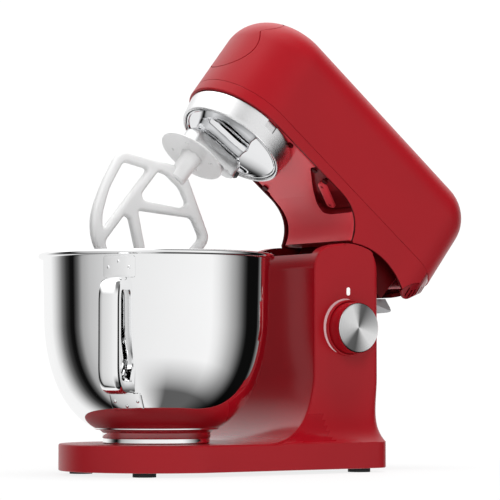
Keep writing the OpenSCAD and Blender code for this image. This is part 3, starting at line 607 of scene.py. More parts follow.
def pedestal_rings():
    n_arc, n_straight, n_side, n_corner, n_back = 32, 14, 16, 8, 5
    n_front = n_arc + n_straight
    steps = [math.radians(a) for a in (0, 22.5, 45, 67.5, 90)]

    def rear(wide, y_c, y_b, z):
        r = corner_at(z)
        corner = [
            (wide - r + r * math.cos(a), y_c + (y_b - y_c) * math.sin(a), z)
            for a in (math.pi / 2 * k / n_corner for k in range(1, n_corner + 1))
        ]
        x = wide - r
        return corner + [(x * (1 - k / n_back), y_b, z) for k in range(1, n_back + 1)]

    def front(inset, z):
        r = PLINTH_R - inset
        t = math.radians(90 - TAPER)
        out = [(r * math.sin(t * i / n_arc), -r * math.cos(t * i / n_arc), z) for i in range(n_arc + 1)]
        y0 = out[-1][1]
        for i in range(1, n_straight):
            y = y0 + (SIDE_Y - y0) * i / n_straight
            out.append((plinth_half(y) - inset, y, z))
        return out

    levels = []
    profile = column_profile()
    for k, (y, z) in enumerate(profile):
        t = heading(profile, k)
        ny, nz = (0, 1) if k == 0 else (-t.y, t.x)
        w = column_half(y, z)
        fillet = []
        for p in steps:
            fall = 1 - math.cos(p)
            fillet.append((w - EDGE + EDGE * math.sin(p), y - EDGE * ny * fall, z - EDGE * nz * fall))
        y_b = column_back_at(z)
        y_c = min(COLUMN_BACK - corner_at(z), y_b - 2)
        run = side_run(fillet[-1], max(y_c, fillet[-1][1] + 0.5), z, n_side)
        strip = [((w - EDGE) * i / n_front, y, z) for i in range(n_front)]
        wide, y_c, _ = run[-1]
        levels.append((strip, fillet, run + rear(wide, y_c, max(y_b, y_c + 0.5), z)))

    rings = []
    side_ys = [SIDE_Y + (CORNER_Y - SIDE_Y) * j / n_side for j in range(1, n_side + 1)]
    base_side = [(plinth_half(y), y) for y in side_ys]
    wide = plinth_half(CORNER_Y)

    def base(inset, z):
        run = [(x - inset, y, z) for x, y in base_side]
        corner = rear(wide - inset, CORNER_Y, COLUMN_BACK - inset, z)
        edge = [(plinth_half(SIDE_Y) - inset, SIDE_Y, z)] * len(steps)
        return both_sides(front(inset, z) + edge + run + corner)

    for inset, z in ((3.6, 9), (3.6, FOOT_H), (1.0, FOOT_H), (0.3, FOOT_H + 0.3), (0, FOOT_H + 1), (0, 27)):
        rings.append(base(inset, z))
    _, fillet, rest = levels[0]
    for j, p in reversed(list(enumerate(steps))):
        edge = front(EDGE * (1 - math.sin(p)), PLINTH_TOP - EDGE * (1 - math.cos(p)))
        rings.append(both_sides(edge + [fillet[max(k, j)] for k in range(len(steps))] + rest))
    rings += [both_sides(strip + f + r) for strip, f, r in levels]
    return rings


def lip_cutter():
    """The mouth between the cheeks, whose front lip is a sloping band that curves up at its ends."""
    rings = []
    for i in range(25):
        x = SLOT_HALF * (i / 12 - 1)
        rise = 4.5 * (x / SLOT_HALF) ** 2 - 2.2
        rings.append([
            (x, 137, 199.4 + rise), (x, 145, 210.2 + rise), (x, 151, 218.3 + rise * 0.4),
            (x, 153, 246), (x, 137, 246),
        ])
    return loft(rings)


def box_faces(x0, y0, z0, x1, y1, z1):
    """A box from its lowest corner to its highest."""
    return prism([(y0, z0), (y1, z0), (y1, z1), (y0, z1)], x0, x1)


# Through the column's back: for the neck, for the hinge arm and for the lever
REAR_OPENINGS = (
    (-SLOT_HALF, 216, 167, SLOT_HALF, 240, 260),
    (-22.5, 216, 148, 22.5, 240, 170),
    (25, 216, 144, 47, 240, 162),
)
# Between these heights, in metres, the sweep from the plinth up to the column is glossy
SWEEP_LOW, SWEEP_HIGH = 0.031, 0.12


def make_pedestal():
    """The column and plinth, hollow between the cheeks. Its front is glossier than its sides."""
    verts, faces = loft(pedestal_rings())
    body = piece("column_and_plinth", verts, faces, "stand", "satin_red", SATIN_RED, replaces=["pedestal"])
    # The hollow between the cheeks, its walls painted in shade.
    cut(body, *box_faces(-SLOT_HALF, 150.5, 30, SLOT_HALF, 221, 260), STAND, painted_shade=SHADE_RED)
    cut(body, *lip_cutter(), STAND)
    for opening in REAR_OPENINGS:
        cut(body, *box_faces(*opening), STAND)
    front = (COLUMN_FRONT + 6 + BOWL_Y) * MM
    repaint(body, GLOSS_FRONT, lambda c, n: n.y < -0.45 and c.y < front and c.z > PLINTH_TOP * MM
            or n.z > 0.3 and c.y < front and SWEEP_LOW < c.z < SWEEP_HIGH)
    settle_normals(body)


make_pedestal()


# ------------------------ head

SEAM_Z, HEAD_TOP, HEAD_R, REAR_R = 254.0, 354.0, 60.0, 45.0
COVER_WALL = 3.0
REAR_X, REAR_Y = 15.0, 216.0
OUTLET_Z = 302.0
SKIRT_EDGE = (
    [(-62, 242.5), (100, 243.2)]
    + curve((100, 243.2), (124, 243), (136, 232), (141, 214.4), 18)[1:]
    + arc(HINGE_Y, HINGE_Z, DOME_R + 1, 123, 64, 26)
    + curve((220.5, 215.3), (224.5, 211.2), (230.5, 210.6), (235, 217.5), 8)
    + [(241, 226), (250, 237), (258, 247), (262, 252)]
)


def head_outline(d, side=(), rear=()):
    """The head seen from above, inset by d, counter-clockwise from the nose's -X side."""
    r, c = HEAD_R - d, REAR_R - d
    ys = side or [REAR_Y * k / 20 for k in range(1, 20)]
    angles = rear or [90 * k / 14 for k in range(15)]
    right = [(r, y) for y in ys]
    turns = [math.radians(a) for a in angles]
    corner = [(REAR_X + c * math.cos(t), REAR_Y + c * math.sin(t)) for t in turns]
    back = [(REAR_X * (1 - k / 3), REAR_Y + c) for k in range(1, 3)]
    half = right + corner + back
    return arc(0, 0, r, 180, 360, 48) + half + [(0, REAR_Y + c)] + [(-x, y) for x, y in half[::-1]]


def cover_rings():
    """The upper cover's inner and outer faces as one closed run of rings."""
    wall = COVER_WALL
    shoulder = curve((0, 314), (0, 335.5), (18.5, HEAD_TOP), (40, HEAD_TOP), 16)
    inner = [(d * (40 - wall) / 40 + wall, z - wall * smooth_step((z - 314) / 40)) for d, z in shoulder]
    seam = [(wall, SEAM_Z + 0.1), (0.5, SEAM_Z + 0.1), (0.15, SEAM_Z + 0.25), (0, SEAM_Z + 0.6)]
    rows = inner[::-1] + [(wall, 284)] + seam + [(0, 275), (0, 295)] + shoulder
    return [[(x, y, z) for x, y in head_outline(d)] for d, z in rows]


def nose_outline(r):
    """The nose cover's outline, (x, z): a circle that opens into a finger notch at the top of each side."""
    k = r - 30.5
    right = arc(0, OUTLET_Z, r, -90, 38, 40)
    lobe = curve(right[-1], (right[-1][0] + 0.6, 325.5), (29.5 + k, 326), (31.5 + k, 331), 6)[1:]
    top = curve((31.5 + k, 331), (33 + k, 340), (28, 349 + k), (0, 349 + k), 12)[1:]
    return tidy(both_sides(right + lobe + top))


def along_y(outline, y0, y1):
    """An outline in (x, z) drawn out along Y."""
    return loft([[(x, y0, z) for x, z in outline], [(x, y1, z) for x, z in outline]])


def make_cover():
    shell = piece("upper_cover", *loft(cover_rings()), "head", "satin_red", SATIN_RED, HEAD, ["head_cover"])
    cut(shell, *along_y(nose_outline(30.9), -75, -8), HEAD)
    settle_normals(shell)
    cover = piece("nose_cover", *loft(cover_rings()), "outlet_lid", "red_plastic", SATIN_RED, HEAD,
                  ["outlet_cover"])
    cut(cover, *along_y(nose_outline(30.0), -75, -8), HEAD, "INTERSECT")
    settle_normals(cover)
    verts, faces = lathe([(11, 0), (13, 0), (13, 9), (11, 9)], 64)
    turn = Matrix.Translation((0, -57.2, OUTLET_Z)) @ Matrix.Rotation(-math.pi / 2, 4, "X")
    piece("nose_cover_collar", turned(verts, turn), faces, "outlet_lid", "red_plastic", SATIN_RED, HEAD)


def make_skirt():
    ys = sorted({round(y, 3) for y, z in SKIRT_EDGE if 2 < y < REAR_Y - 1} | {20.0 * k for k in range(1, 6)})
    corner_ys = [y for y, z in SKIRT_EDGE if REAR_Y < y < REAR_Y + 44]
    angles = sorted({0.0, 76.0, 82.0, 86.0, 90.0} | {
        round(math.degrees(math.asin((y - REAR_Y) / REAR_R)), 2) for y in corner_ys
    })
    edges = sorted(SKIRT_EDGE)
    outer = head_outline(0, ys, angles)
    rows = []
    for d, top in ((0.5, 0), (0.15, 0.15), (0, 0.5)):
        rows.append([(x, y, SEAM_Z - top) for x, y in head_outline(d, ys, angles)])
    for d, up in ((0, 1.2), (0.15, 0.55), (0.6, 0.1), (1.2, 0), (2.4, 0), (COVER_WALL, 0.5)):
        ring = head_outline(d, ys, angles)
        rows.append([(x, y, between(p[1], edges) + up) for (x, y), p in zip(ring, outer)])
    rows.append([(x, y, SEAM_Z) for x, y in head_outline(COVER_WALL, ys, angles)])
    verts, faces = loft(rows + rows[:1], caps=False)
    skirt = piece("lower_skirt", verts, faces, "head", "satin_red", SATIN_RED, HEAD, ["head_skirt"])
    border = [(219.4, 200), (218.6, 213), (220.5, 221), (226, 230), (235.6, 239.5), (236.4, 258)]
    behind = border + [(300, 258), (300, 200)]
    cut(skirt, *prism(behind, -80, 80), HEAD)
    # Faces that look in toward the head's middle are painted in shade.
    middle = (BOWL_Y + 80) * MM
    repaint(skirt, SHADE_RED, lambda c, n: c.x * n.x + (c.y - middle) * n.y * 0.3 < -0.004)
    settle_normals(skirt)

    verts = [(x * 0.992, y - (0.5 if y > 216 else 0), z) for x, y, z in verts]
    panel = piece("rear_panel", verts, faces, "head", "red_plastic", PANEL_RED, HEAD, ["rear_vent"])
    gap = [(y + 0.5, z) for y, z in border]
    cut(panel, *prism(gap + [(300, 258), (300, 200)], -80, 80), HEAD, "INTERSECT")
    slots = []
    for side in (1, -1):
        for k in range(6):
            a = math.radians(14 + 6.4 * k)
            y = REAR_Y + REAR_R * math.sin(a)
            low = between(y, edges) + 2.6
            box, sides = box_faces(-2.2, -0.85, low, 8, 0.85, low + 10.5 - k * 0.6)
            turn = Matrix.Rotation(a if side > 0 else math.pi - a, 4, "Z")
            place = Matrix.Translation((side * REAR_X, REAR_Y, 0)) @ turn @ Matrix.Translation((REAR_R, 0, 0))
            slots.append((turned(box, place), sides))
    # The slots' walls are painted in shade.
    cut(panel, *joined(*slots), HEAD, painted_shade=SHADE_RED)
    settle_normals(panel)
    # The flat floor behind the skirt is painted in shade.
    floor = prism([(224.5, 210.8), (229, 215.5), (249.5, 240), (246.5, 242.5), (223, 214)], -42, 42)
    piece("rear_panel_floor", *floor, "head", "red_plastic", SHADE_RED, HEAD)


# The ends of the rib in the pocket under the head, each with a screw
RIB_FRONT, RIB_BACK = (36.2, 92), (22.6, 118)


def make_neck():
    """The glossy underside: the head's floor, the neck that runs down into the column and the hinge arm."""
    half = 56.6
    lower = line((95, 244.8), (104, 243.8), 2) + curve((104, 243.8), (126, 242), (138, 232), (141, 215.5), 24)
    core = curve((104, 247.5), (140, 247.5), (155, 240), (155, 223), len(lower) - 1)
    rings = []
    for k, (y, z) in enumerate(lower):
        t = heading(lower, k)
        r = 4 * smooth_step((y - 98) / 34) + 0.8
        cy, cz = core[k]
        bend = []
        for i in range(9):
            a = math.pi / 2 * i / 8
            back = r * (1 - math.cos(a))
            x = half - r + r * math.sin(a)
            bend.append((x, y - t.y * back, min(z + t.x * back, 247.2)))
        right = [((half - r) * i / 6, y, z) for i in range(6)] + bend + [(half, cy, cz)]
        rings.append(right + [(-x, y, z) for x, y, z in right[:0:-1]])
    # The neck and the head's floor take the lighter red, painted light from below.
    neck = piece("neck", *loft(rings), "head", "gloss_red", LIT_NECK_RED, HEAD, ["head_frame"])
    slab = plate(head_outline(6.3), [], edge_layers(244, 247.6, 1.0, 3))
    floor = piece("head_floor", *slab, "head", "gloss_red", LIT_NECK_RED, HEAD)
    pocket = rounded([(46, 64), (56, 64), (56, 125), (22, 125.5), (8, 123), (7, 112), (18, 95)],
                     [4, 1, 1, 4, 6, 7, 9])
    # Each cut leaves the pocket's walls in painted shade.
    for part in (neck, floor):
        cut(part, *plate(pocket, [], [(0, 225), (0, 246.7)]), HEAD, painted_shade=POCKET_SHADE)
    settle_normals(floor)

    # A dark rim round the head's floor: painted shadow in the gap between the skirt and the floor.
    rim = plate(head_outline(3.3), [], [(0, 246.9), (0, 248.6)])
    piece("floor_flange", *rim, "head", "gloss_red", SHADE_RED, HEAD)
    drum = prism([(156, 222), (156, 200), (212, 200), (214, 232), (214, 247), (150, 247)], -46.5, 46.5)
    hole = arc(HINGE_Y, HINGE_Z, 9, 0, 350, 35)
    outline = [(206, 225), (164, 225)] + arc(HINGE_Y, HINGE_Z, 21, 180, 360, 24)
    verts, faces = plate(outline, [hole], edge_layers(-20, 20, 1.2, 3))
    arm = ([(z, x, y) for x, y, z in verts], faces)
    along = math.degrees(math.atan2(119.5 - 89, 23 - 38))
    rib = plate(
        arc(*RIB_FRONT, 5.2, along + 90, along + 270, 10) + arc(*RIB_BACK, 5.2, along - 90, along + 90, 10),
        [], edge_layers(243.8, 247.6, 1.4, 4),
    )
    # The drum and the hinge arm inside the column are painted in shade.
    piece("neck_inside", *joined(drum, arm), "head", "gloss_red", SHADE_RED, HEAD)
    # The rib takes the same painted light.
    piece("pocket_rib", *rib, "head", "gloss_red", LIT_NECK_RED, HEAD)
    holes = []
    for x, y, r, z in ((*RIB_FRONT, 2.0, 243.65), (*RIB_BACK, 2.0, 243.65), (46.5, 69.5, 3.0, 243.9)):
        verts, faces = lathe(
            [(0, z), (r * 0.5, z), (r * 0.55, z + 0.3), (r, z + 0.1), (r, z + 1.6), (0, z + 1.6)], 24
        )
        holes.append((moved(verts, x, y), faces))
    # The screws are painted the dark red of the shade in their holes.
    piece("underside_screws", *joined(*holes), "head", "black_plastic", SHADE_RED, HEAD)


make_cover()
make_skirt()
make_neck()


# ------------------------ bowl

RIM_TOP, BOWL_R = 210.5, 108.9


def bowl_side(d):
    return (
        [(0, 40 + d), (30, 40.1 + d), (46, 40.3 + d), (52, 40.8 + d)]
        + curve((59.4 - d * 0.5, 43.9 + d), (86 - d, 57 + d), (104.5 - d, 92), (107.4 - d, 140), 40)
        + [(107.9 - d, 160), (108.4 - d, 182), (BOWL_R - d, 203)]
    )


WALL = sorted((z, r) for r, z in bowl_side(0)[4:])


def wall_radius(z):
    return between(z, WALL)


def make_bowl():
    """The bowl's sheet with its rolled rim, and the bayonet ring under it."""
    bead = arc(BOWL_R + 1.98, RIM_TOP - 2.5, 2.5, 232, 508, 22)
    profile = bowl_side(0) + [(BOWL_R + 0.1, 204.6)] + bead + [(108.1, 208.2)] + bowl_side(0.9)[::-1]
    verts, faces = lathe(profile, 200)
    piece("bowl", verts, faces, "bowl", "polished_steel", MIRROR, replaces=["mixing_bowl"])
    foot = (
        [(49.4, 30), (50.8, 29.9), (51.3, 30.4), (51.35, 33.2), (51.1, 34), (51.3, 34.8)]
        + [(51.9, 35.2), (52.1, 35.6), (52.15, 39.6), (52.4, 40.3)]
        + curve((52.9, 40.9), (54.4, 41.9), (57.2, 42.7), (59.4, 43.0), 8)
        + [(60.1, 43.5), (60.2, 44.1), (59.6, 44.4), (57, 43.2), (52, 41), (49.6, 40.6)]
    )
    verts, faces = lathe(foot, 160)
    lugs = []
    for a in (30, 150, 270):
        outline = arc(0, 0, 43.8, -11, 11, 8) + arc(0, 0, 50, 11, -11, 8)
        block, sides = plate(outline, [], edge_layers(30.4, 34, 0.4, 2))
        lugs.append((turned(block, Matrix.Rotation(math.radians(a), 4, "Z")), sides))
    piece("bowl_base_ring", *joined((verts, faces), *lugs), "bowl", "polished_steel", MIRROR,
          replaces=["bowl_foot"])


def wrapped(verts, lift):
    """Points (across, height, thickness) laid on the bowl's wall at the handle."""
    out = []
    for s, z, t in verts:
        r = wall_radius(z)
        a = HANDLE_DIR + s / r
        out.append(((r + lift + t) * math.cos(a), (r + lift + t) * math.sin(a), z))
    return out


def weld_plate(z0, z1, half, dots):
    """A plate that lies on the bowl's wall, with its spot welds."""
    outline = rounded([(-half, z0), (half, z0), (half, z1), (-half, z1)], 2.2)
    dense = []
    for p, q in zip(outline, outline[1:] + outline[:1]):
        dense += line(p, q, max(1, round(math.dist(p, q) / 2.5)))
    parts = [plate(dense, [], [(0, 0), (0, 0.9), (0.25, 1.3), (0.9, 1.45)])]
    dot, sides = lathe([(0, 1.0), (1.5, 1.0), (1.45, 1.55), (1.0, 1.85), (0, 1.95)], 20)
    parts += [(moved(dot, s, z), sides) for s, z in dots]
    verts, faces = joined(*parts)
    return wrapped(verts, -0.2), faces


def channel_section():
    """The hollow grip's cross-section, (across, depth)."""
    outer = [(0, 0), (4.5, 0.05), (7.2, 0.5), (9.1, 1.7), (10.0, 3.6), (10.1, 7), (9.6, 10), (8.2, 11.8),
             (6.2, 12.3)]
    inner = [(5.6, 11.4), (7.4, 10.6), (8.4, 8.8), (8.6, 6.5), (8.3, 3.8), (6.8, 2.2), (4.0, 1.5), (0, 1.4)]
    return both_sides(outer + inner)


def make_handle():
    path = tidy(
        line((107.8, 184.4), (118, 184.4), 4)
        + curve((118, 184.4), (133, 184.2), (140.4, 177), (140.5, 160), 14)
        + line((140.5, 158), (140.5, 106), 10)
        + curve((140.5, 104), (140.5, 87), (134, 77.6), (116, 77), 14)
        + line((113, 76.8), (92.5, 76.2), 5)
        + [(92.5, 76.2)]
    )
    section = channel_section()
    rings = []
    for k, p in enumerate(path):
        a, b = Vector(path[max(0, k - 1)]), Vector(path[min(len(path) - 1, k + 1)])
        t = (b - a).normalized()
        inward = Vector((t.y, -t.x))
        ring = []
        for s, depth in section:
            r, z = p[0] + inward.x * depth, p[1] + inward.y * depth
            r = max(r, wall_radius(z) - 0.5)
            ring.append((r * math.cos(HANDLE_DIR) - s * math.sin(HANDLE_DIR),
                         r * math.sin(HANDLE_DIR) + s * math.cos(HANDLE_DIR), z))
        rings.append(ring)
    upper = weld_plate(184.0, 204, 15.5, ((-10, 193.5), (10, 193.5), (0, 198.8)))
    lower = weld_plate(61.5, 77.5, 15.5, ((-11, 70), (11, 70), (0, 65.6)))
    piece("bowl_grip", *joined(loft(rings), upper, lower), "bowl", "polished_steel", MIRROR,
          replaces=["bowl_handle"])


make_bowl()
make_handle()


# ------------------------ planet hub and beater

NOTCH_DIR = math.radians(-2)


def make_hub():
    """The chrome ring round the hub, with the notch for its tab, and the dish that turns inside it."""
    ring = (
        [(50.4, 241.6), (50.2, 238)] + curve((53.6, 236), (52.6, 230), (51.8, 226), (51.4, 223.8), 6)
        + [(51.6, 222.6), (52.4, 221.5), (53.3, 221.3), (54.2, 221.7), (54.7, 222.8)]
        + curve((55.0, 225), (55.8, 231), (56.8, 236), (57.4, 240.4), 8)
        + [(57.35, 241.3), (56.8, 241.9), (52, 242)]
    )
    trim = piece("hub_trim", *lathe(ring, 160), "head", "chrome", SATIN_CHROME, HEAD, ["hub_ring"])
    notch = ((50, -6), (62, -6), (62, 6), (50, 6))
    verts, faces = loft([[(x, y, z) for x, y in notch] for z in (234, 246)])
    cut(trim, turned(verts, Matrix.Rotation(NOTCH_DIR, 4, "Z")), faces, HEAD)
    settle_normals(trim)
    dish = (
        [(0, 234), (50.6, 234), (50.7, 224.2), (50.5, 223.1), (49.9, 222.5), (49.3, 222.6), (48.8, 223.3)]
        + curve((48.3, 224.4), (44, 227.4), (34, 230.2), (22, 231.4), 14) + [(12, 231.75), (0, 231.8)]
    )
    piece("hub_bowl", *lathe(dish, 160), "hub", "chrome", CHROME, HEAD, ["hub_dish"])


def make_socket():
    """The block that carries the beater's socket: a faced arm with a polished saddle up to the dish."""
    outline = arc(0, 0, 18.5, 128, 298, 26) + curve((13, -13.5), (16, -11), (18, -4), (19, 6), 6)
    outline += [(20.5, 20), (22.5, 31)] + curve((23, 34), (23.5, 39), (20, 42), (15, 42), 6) + [(9, 40)]
    outline = tidy(outline, 0.4)
    lower = plate(outline, [], [(1.6, 197), (0.8, 197.2), (0.2, 197.8), (0, 198.8), (0, 211), (0.3, 212),
                                (1.2, 213)])
    piece("socket_face", *lower, "hub", "cast_grey", SOCKET, PLANET, ["socket_block"])
    saddle = plate(outline, [], [(0.8, 212.4), (1.2, 213.6), (3.0, 215), (4.6, 217), (5.4, 220), (5.4, 224),
                                 (4.4, 227.6), (3, 230.5)])
    post = lathe([(0, 212), (12, 212), (12, 233.5), (0, 233.5)], 48)
    piece("socket_saddle", *joined(saddle, post), "hub", "chrome", CHROME, PLANET)
    # A dark prism at the block's far end: painted shade for its small slot.
    slot = plate(rounded([(14.5, 36), (21.5, 36), (21.5, 44), (14.5, 44)], 2), [], [(0, 200), (0, 205)])
    piece("socket_slot_shade", *slot, "hub", "black_plastic", DARK, PLANET)
    collar = lathe([(0, 194.5), (11.5, 194.5), (12.2, 195.2), (12.2, 197.4), (0, 197.4)], 64)
    piece("socket_collar", *collar, "hub", "chrome", CHROME, PLANET)


BEATER_HALF_W, BEATER_H = 66.0, 147.0


def beater_outlines():
    """The beater's frame, (across, down from its top), and its four windows."""
    w, h = BEATER_HALF_W, BEATER_H
    left = [(-9, -20), (-w + 2, -49), (-w - 1, -58), (-w + 4, -90), (-w + 13, -120), (-w + 28, -138)]
    left.append((-16, -h))
    radii = [3, 6, 6, 12, 12, 12, 9]
    frame_line = rounded(left + [(-x, z) for x, z in left[::-1]], radii + radii[::-1])
    windows = [
        rounded([(-w + 9, -57), (-31, -44), (-34, -123), (-w + 23, -113), (-w + 13, -88)], [5, 5, 5, 6, 10]),
        rounded([(-21, -38), (-11, -34), (9, -34), (24, -41), (22, -48), (-16, -71), (-22, -68)],
                [3, 3, 5, 4, 4, 3, 3]),
        rounded([(37, -48), (w - 9, -57), (w - 13, -88), (w - 22, -113), (w - 30, -124), (-15, -83)],
                [5, 5, 10, 8, 6, 3]),
        rounded([(-24, -97), (-18, -95), (29, -130), (15, -h + 10), (-14, -h + 10), (-25, -131)],
                [3, 3, 5, 6, 6, 5]),
    ]
    return frame_line, windows


def make_beater():
    """The flat beater with its boss, and the splash guard above it with four small feet."""
    outline, windows = beater_outlines()
    verts, faces = plate(outline, windows, edge_layers(-4.5, 4.5, 3.5, 5))
    stand_up = Matrix.Rotation(math.pi / 2, 4, "Z") @ Matrix.Rotation(math.pi / 2, 4, "X")
    verts = turned(verts, Matrix.Translation((0, 0, 191)) @ stand_up)
    boss = lathe(
        [(0, 159.6), (7.6, 159.6), (9.0, 161.4)] + curve((9.4, 166), (9.6, 176), (9.7, 184), (11.5, 190.6), 8)
        + [(11.5, 190.9), (0, 190.9)], 64,
    )
    piece("beater", *joined((verts, faces), boss), "beater", "cast_grey", CAST, PLANET, ["k_beater"])
    guard = lathe(
        [(0, 191), (28, 191), (32.4, 190.7), (33.6, 190.8), (34.1, 191.5), (34.0, 192.3), (33.2, 192.8),
         (26, 193.1), (12, 193.6), (9.4, 194.6), (8.6, 196.6), (0, 196.6)], 128,
    )
    bead, sides = lathe([(0, 189.9), (0.9, 190.1), (1.5, 190.9), (1.6, 191.2), (0, 191.2)], 20)
    dots = []
    for k in range(4):
        a = math.radians(35 + 90 * k)
        dots.append((moved(bead, 22 * math.cos(a), 22 * math.sin(a)), sides))
    piece("beater_guard", *joined(guard, *dots), "beater", "cast_grey", CAST, PLANET, ["splash_guard"])


make_hub()
make_socket()
make_beater()


# ------------------------ controls

KNOB_AT = (0.0, (KNOB_Y + BOWL_Y) * MM, KNOB_Z * MM)


def knob_part(name, profile, body, slot, material, replaces):
    """A profile, (radius, x), turned round the knob's axis, with its origin on that axis."""
    verts, faces = lathe(profile, 128)
    verts = [(z, x, y) for x, y, z in verts]
    place = Matrix.Translation(KNOB_AT) @ Matrix.Scale(MM, 4)
    part = piece(name, verts, faces, body, slot, material, place, replaces, origin=KNOB_AT)
    settle_normals(part)


def make_knob():
    """The bezel on the column, and the knob's red body with its spun metal face."""
    bezel = [(25.4, 59.5), (27.7, 59.5), (27.7, 62.2), (27.3, 62.9), (26.6, 63.1), (25.7, 62.8), (25.4, 62.2)]
    knob_part("knob_bezel", bezel, "stand", "red_plastic", SATIN_RED, ["dial_bezel"])
    body = [(0, 60.6), (24.6, 60.6), (25, 61)] + curve((25.1, 64), (25.1, 69), (25.1, 72), (25.0, 74.6), 6)
    body += [(24.9, 75.6), (24.8, 76.1), (24.6, 76.2), (24.4, 75.9), (24.3, 75.2), (0, 75.2)]
    knob_part("knob_body", body, "knob", "red_plastic", SATIN_RED, ["speed_knob"])
    face = [(0, 74.6), (24.2, 74.6), (24.2, 76.2), (24.0, 76.9), (23.5, 77.3), (22.8, 77.2), (14, 77.0),
            (0, 76.9)]
    knob_part("knob_face", face, "knob", "spun_metal", SPUN, ["knob_cap"])


def make_crescent():
    """The pale mark beside the bezel, thin at both ends."""
    rows = []
    for k in range(41):
        a = math.radians(86 + 152 * k / 40)
        wide = 0.3 + 2.4 * math.sin(math.pi * k / 40) ** 0.6
        ring = [(27.75, 59.6), (27.75, 60.45), (27.75 + wide, 60.45), (27.75 + wide, 59.6)]
        rows.append([(x, KNOB_Y + r * math.cos(a), KNOB_Z + r * math.sin(a)) for r, x in ring])
    piece("dial_crescent", *loft(rows), "stand", "pale_mark", PALE, replaces=["dial_arc"])


def make_lever():
    """The release lever: a full side view, (y, z), that is cut back to a thinner one at its outer side."""
    full = [(201, 140), (209, 140), (220, 149.5), (232, 156), (252, 157.5), (256, 163), (250, 171.5),
            (232, 171), (226, 162), (216, 154), (201, 151)]
    near = [(201, 140.6), (208.6, 140.6), (220, 150), (232, 156.4), (251, 158.2), (252.4, 159.4),
            (246, 161.5), (231, 166), (225, 160), (216, 153.4), (201, 150.4)]
    views = ((28, offset(full, 0.7)), (28.7, full), (38.5, full), (44.6, near), (45, offset(near, 0.4)))
    rings = [[(x, y, z) for y, z in view] for x, view in views]
    lever = piece("release_lever", *loft(rings), "lever", "lever_grey", LEVER_GREY, replaces=["lift_lever"])
    settle_normals(lever)


make_knob()
make_crescent()
make_lever()


# ------------------------ CAD pieces that stay

CAD_LOOKS = {
    # The frame screws are painted the dark red of the shade round them.
    SHADE_RED: ["frame_screws"],
    DARK: ["bottom_cover", "cord_grommet", "motor_fan", "speed_control"],
    RUBBER: ["rubber_feet", "drive_belt"],
    STEEL: ["base_screws", "seat_screws", "bracket_screws", "hinge_bracket", "hinge_pin", "lever_pin",
            "knob_shaft", "hub_shaft", "hub_gear", "crown_gear", "planet_pinion", "ring_gear", "beater_shaft",
            "motor_shaft", "motor_pulley", "pinion_shaft", "outlet_shaft", "motor_bearings"],
    PLATE: ["bowl_seat"],
    SATIN_CHROME: ["ring_tab"],
    BRONZE: ["hinge_bushes", "shaft_bearings", "planet_bearings"],
    DIE_CAST: ["gearbox_housing", "motor_frame", "outlet_bearing"],
    COPPER: ["motor_stator", "motor_armature"],
    CARBON: ["carbon_brushes"],
    NYLON: ["belt_pulley"],
    BOARD: ["control_board"],
    LENS: ["indicator_lens"],
}
for look, names in CAD_LOOKS.items():
    for name in names:
        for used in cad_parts[name].material_slots:
            used.material = look


# ------------------------ stage

# How bright the studio is, (degrees round the horizon, brightness): what the pieces mirror at the
# horizon, high above it and far below it, and what lights their matt sides
AMBIENT, AMBIENT_LEFT = 0.2, 0.07
TOP, TOP_FRONT, LOW_FRONT = 2.0, 0.25, 0.12
HORIZON = (
    (-180, 0.97), (-168, 0.95), (-159, 0.72), (-151, 0.44), (-144, 0.18), (-137, 0.04), (-131, 0.006),
    (-126, 0.004), (-120, 0.12), (-114, 0.40), (-104, 0.55), (-58, 0.88), (24, 0.98), (32, 0.86),
    (40, 0.68), (49, 0.45), (55, 0.32), (61, 0.17), (67, 0.05), (72, 0.004), (92, 0.004), (100, 0.30),
    (112, 0.92), (180, 0.97),
)
ABOVE = ((-180, TOP), (-70, TOP), (-20, TOP_FRONT), (85, TOP_FRONT), (118, TOP), (180, TOP))
BELOW = ((-180, 1), (-60, 1), (-20, LOW_FRONT), (80, LOW_FRONT), (120, 1), (180, 1))
MATT = ((-180, AMBIENT_LEFT), (-112, AMBIENT_LEFT), (-60, AMBIENT), (130, AMBIENT), (180, AMBIENT_LEFT))
# The share of what lies above and below, (degrees of height, share)
RISE = ((-90, 0), (22, 0), (48, 1), (90, 1))
SINK = ((-90, 1), (-52, 1), (-24, 0), (90, 0))
BACKDROP = (1.05, 1.05, 1.05, 1)


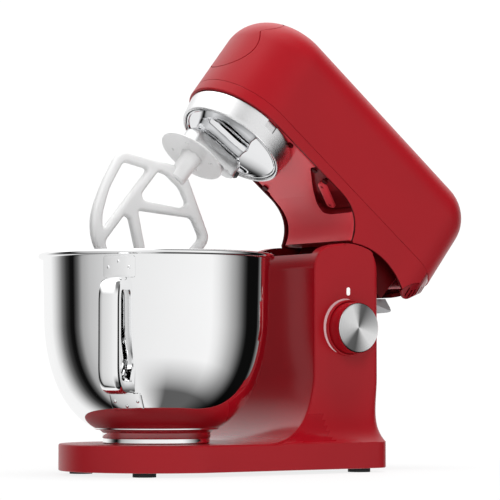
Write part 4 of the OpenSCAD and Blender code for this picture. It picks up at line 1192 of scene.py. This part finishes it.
def make_world():
    """A white studio. The pieces mirror soft boxes with dark gaps between them, all the way round."""
    world = bpy.data.worlds.new("studio")
    bpy.context.scene.world = world
    world.use_nodes = True
    tree = world.node_tree
    tree.nodes.clear()

    def maths(operation, *values):
        return add_node(tree, "Math", dict(enumerate(values)), operation=operation).outputs["Value"]

    def mixed(share, a, b, blend="MIX"):
        node = add_node(tree, "Mix", {"Factor": share, "A": a, "B": b}, data_type="RGBA", blend_type=blend)
        return node.outputs["Result"]

    def horizon(bands):
        return banded(tree, turn, bands, 180)

    where = add_node(tree, "TexCoord").outputs["Generated"]
    split = add_node(tree, "SeparateXYZ", {"Vector": where})
    x, y, z = (split.outputs[k] for k in "XYZ")
    turn = maths("ADD", maths("DIVIDE", maths("ARCTAN2", y, x), 2 * math.pi), 0.5)
    height = maths("ADD", maths("DIVIDE", maths("ARCSINE", z), math.pi), 0.5)
    mirrored = mixed(banded(tree, height, RISE, 90), horizon(HORIZON), horizon(ABOVE))
    mirrored = mixed(banded(tree, height, SINK, 90), mirrored, horizon(BELOW), "MULTIPLY")
    rays = add_node(tree, "LightPath").outputs
    seen = mixed(rays["Is Diffuse Ray"], mirrored, horizon(MATT))
    seen = mixed(rays["Is Camera Ray"], seen, BACKDROP)
    back = add_node(tree, "Background", {"Color": seen})
    add_node(tree, "OutputWorld", {"Surface": back.outputs["Background"]})


# The floor glows white like the backdrop, and less so within a short distance of the mixer, where it
# is lit instead and takes its shade
FLOOR_R = 30
GLOW, GLOW_NEAR = 1.02, 0.8
FADE = (0.12, 0.5)


def make_floor():
    bm = bmesh.new()
    bmesh.ops.create_circle(bm, cap_ends=True, radius=FLOOR_R, segments=96)
    floor = mesh_object("floor", bm)
    material, tree, p = shader("pale_floor", (0.9, 0.9, 0.9), 0.55)
    glow = add_node(tree, "Emission", {"Color": (1, 1, 1, 1), "Strength": GLOW})
    where = add_node(tree, "TexCoord").outputs["Object"]
    far = add_node(tree, "VectorMath", {0: where}, operation="LENGTH").outputs["Value"]
    fade = add_node(tree, "MapRange", {
        "Value": far, "From Min": FADE[0], "From Max": FADE[1], "To Min": GLOW_NEAR,
    }, interpolation_type="SMOOTHSTEP")
    mix = add_node(tree, "MixShader", {
        "Fac": fade.outputs["Result"], 1: p.outputs["BSDF"], 2: glow.outputs["Emission"],
    })
    out = next(n for n in tree.nodes if n.type == "OUTPUT_MATERIAL")
    tree.links.new(mix.outputs["Shader"], out.inputs["Surface"])
    floor.data.materials.append(material)
    floor.visible_glossy = False


def lamp(name, at, target, size, power):
    data = bpy.data.lights.new(name, "AREA")
    data.shape, data.size, data.size_y, data.energy = "RECTANGLE", size[0], size[1], power
    light = new_object(name, data)
    light.location = at
    light.rotation_euler = (Vector(target) - Vector(at)).to_track_quat("-Z", "Y").to_euler()
    light.visible_glossy = False


make_world()
make_floor()
lamp("side_box", (1.7, -0.9, 1.3), (0, 0, 0.15), (1.0, 1.0), 15)
lamp("top_box", (0.2, 0.2, 2.1), (0, 0, 0.3), (1.1, 1.1), 30)
bpy.context.scene.view_settings.view_transform = "Standard"
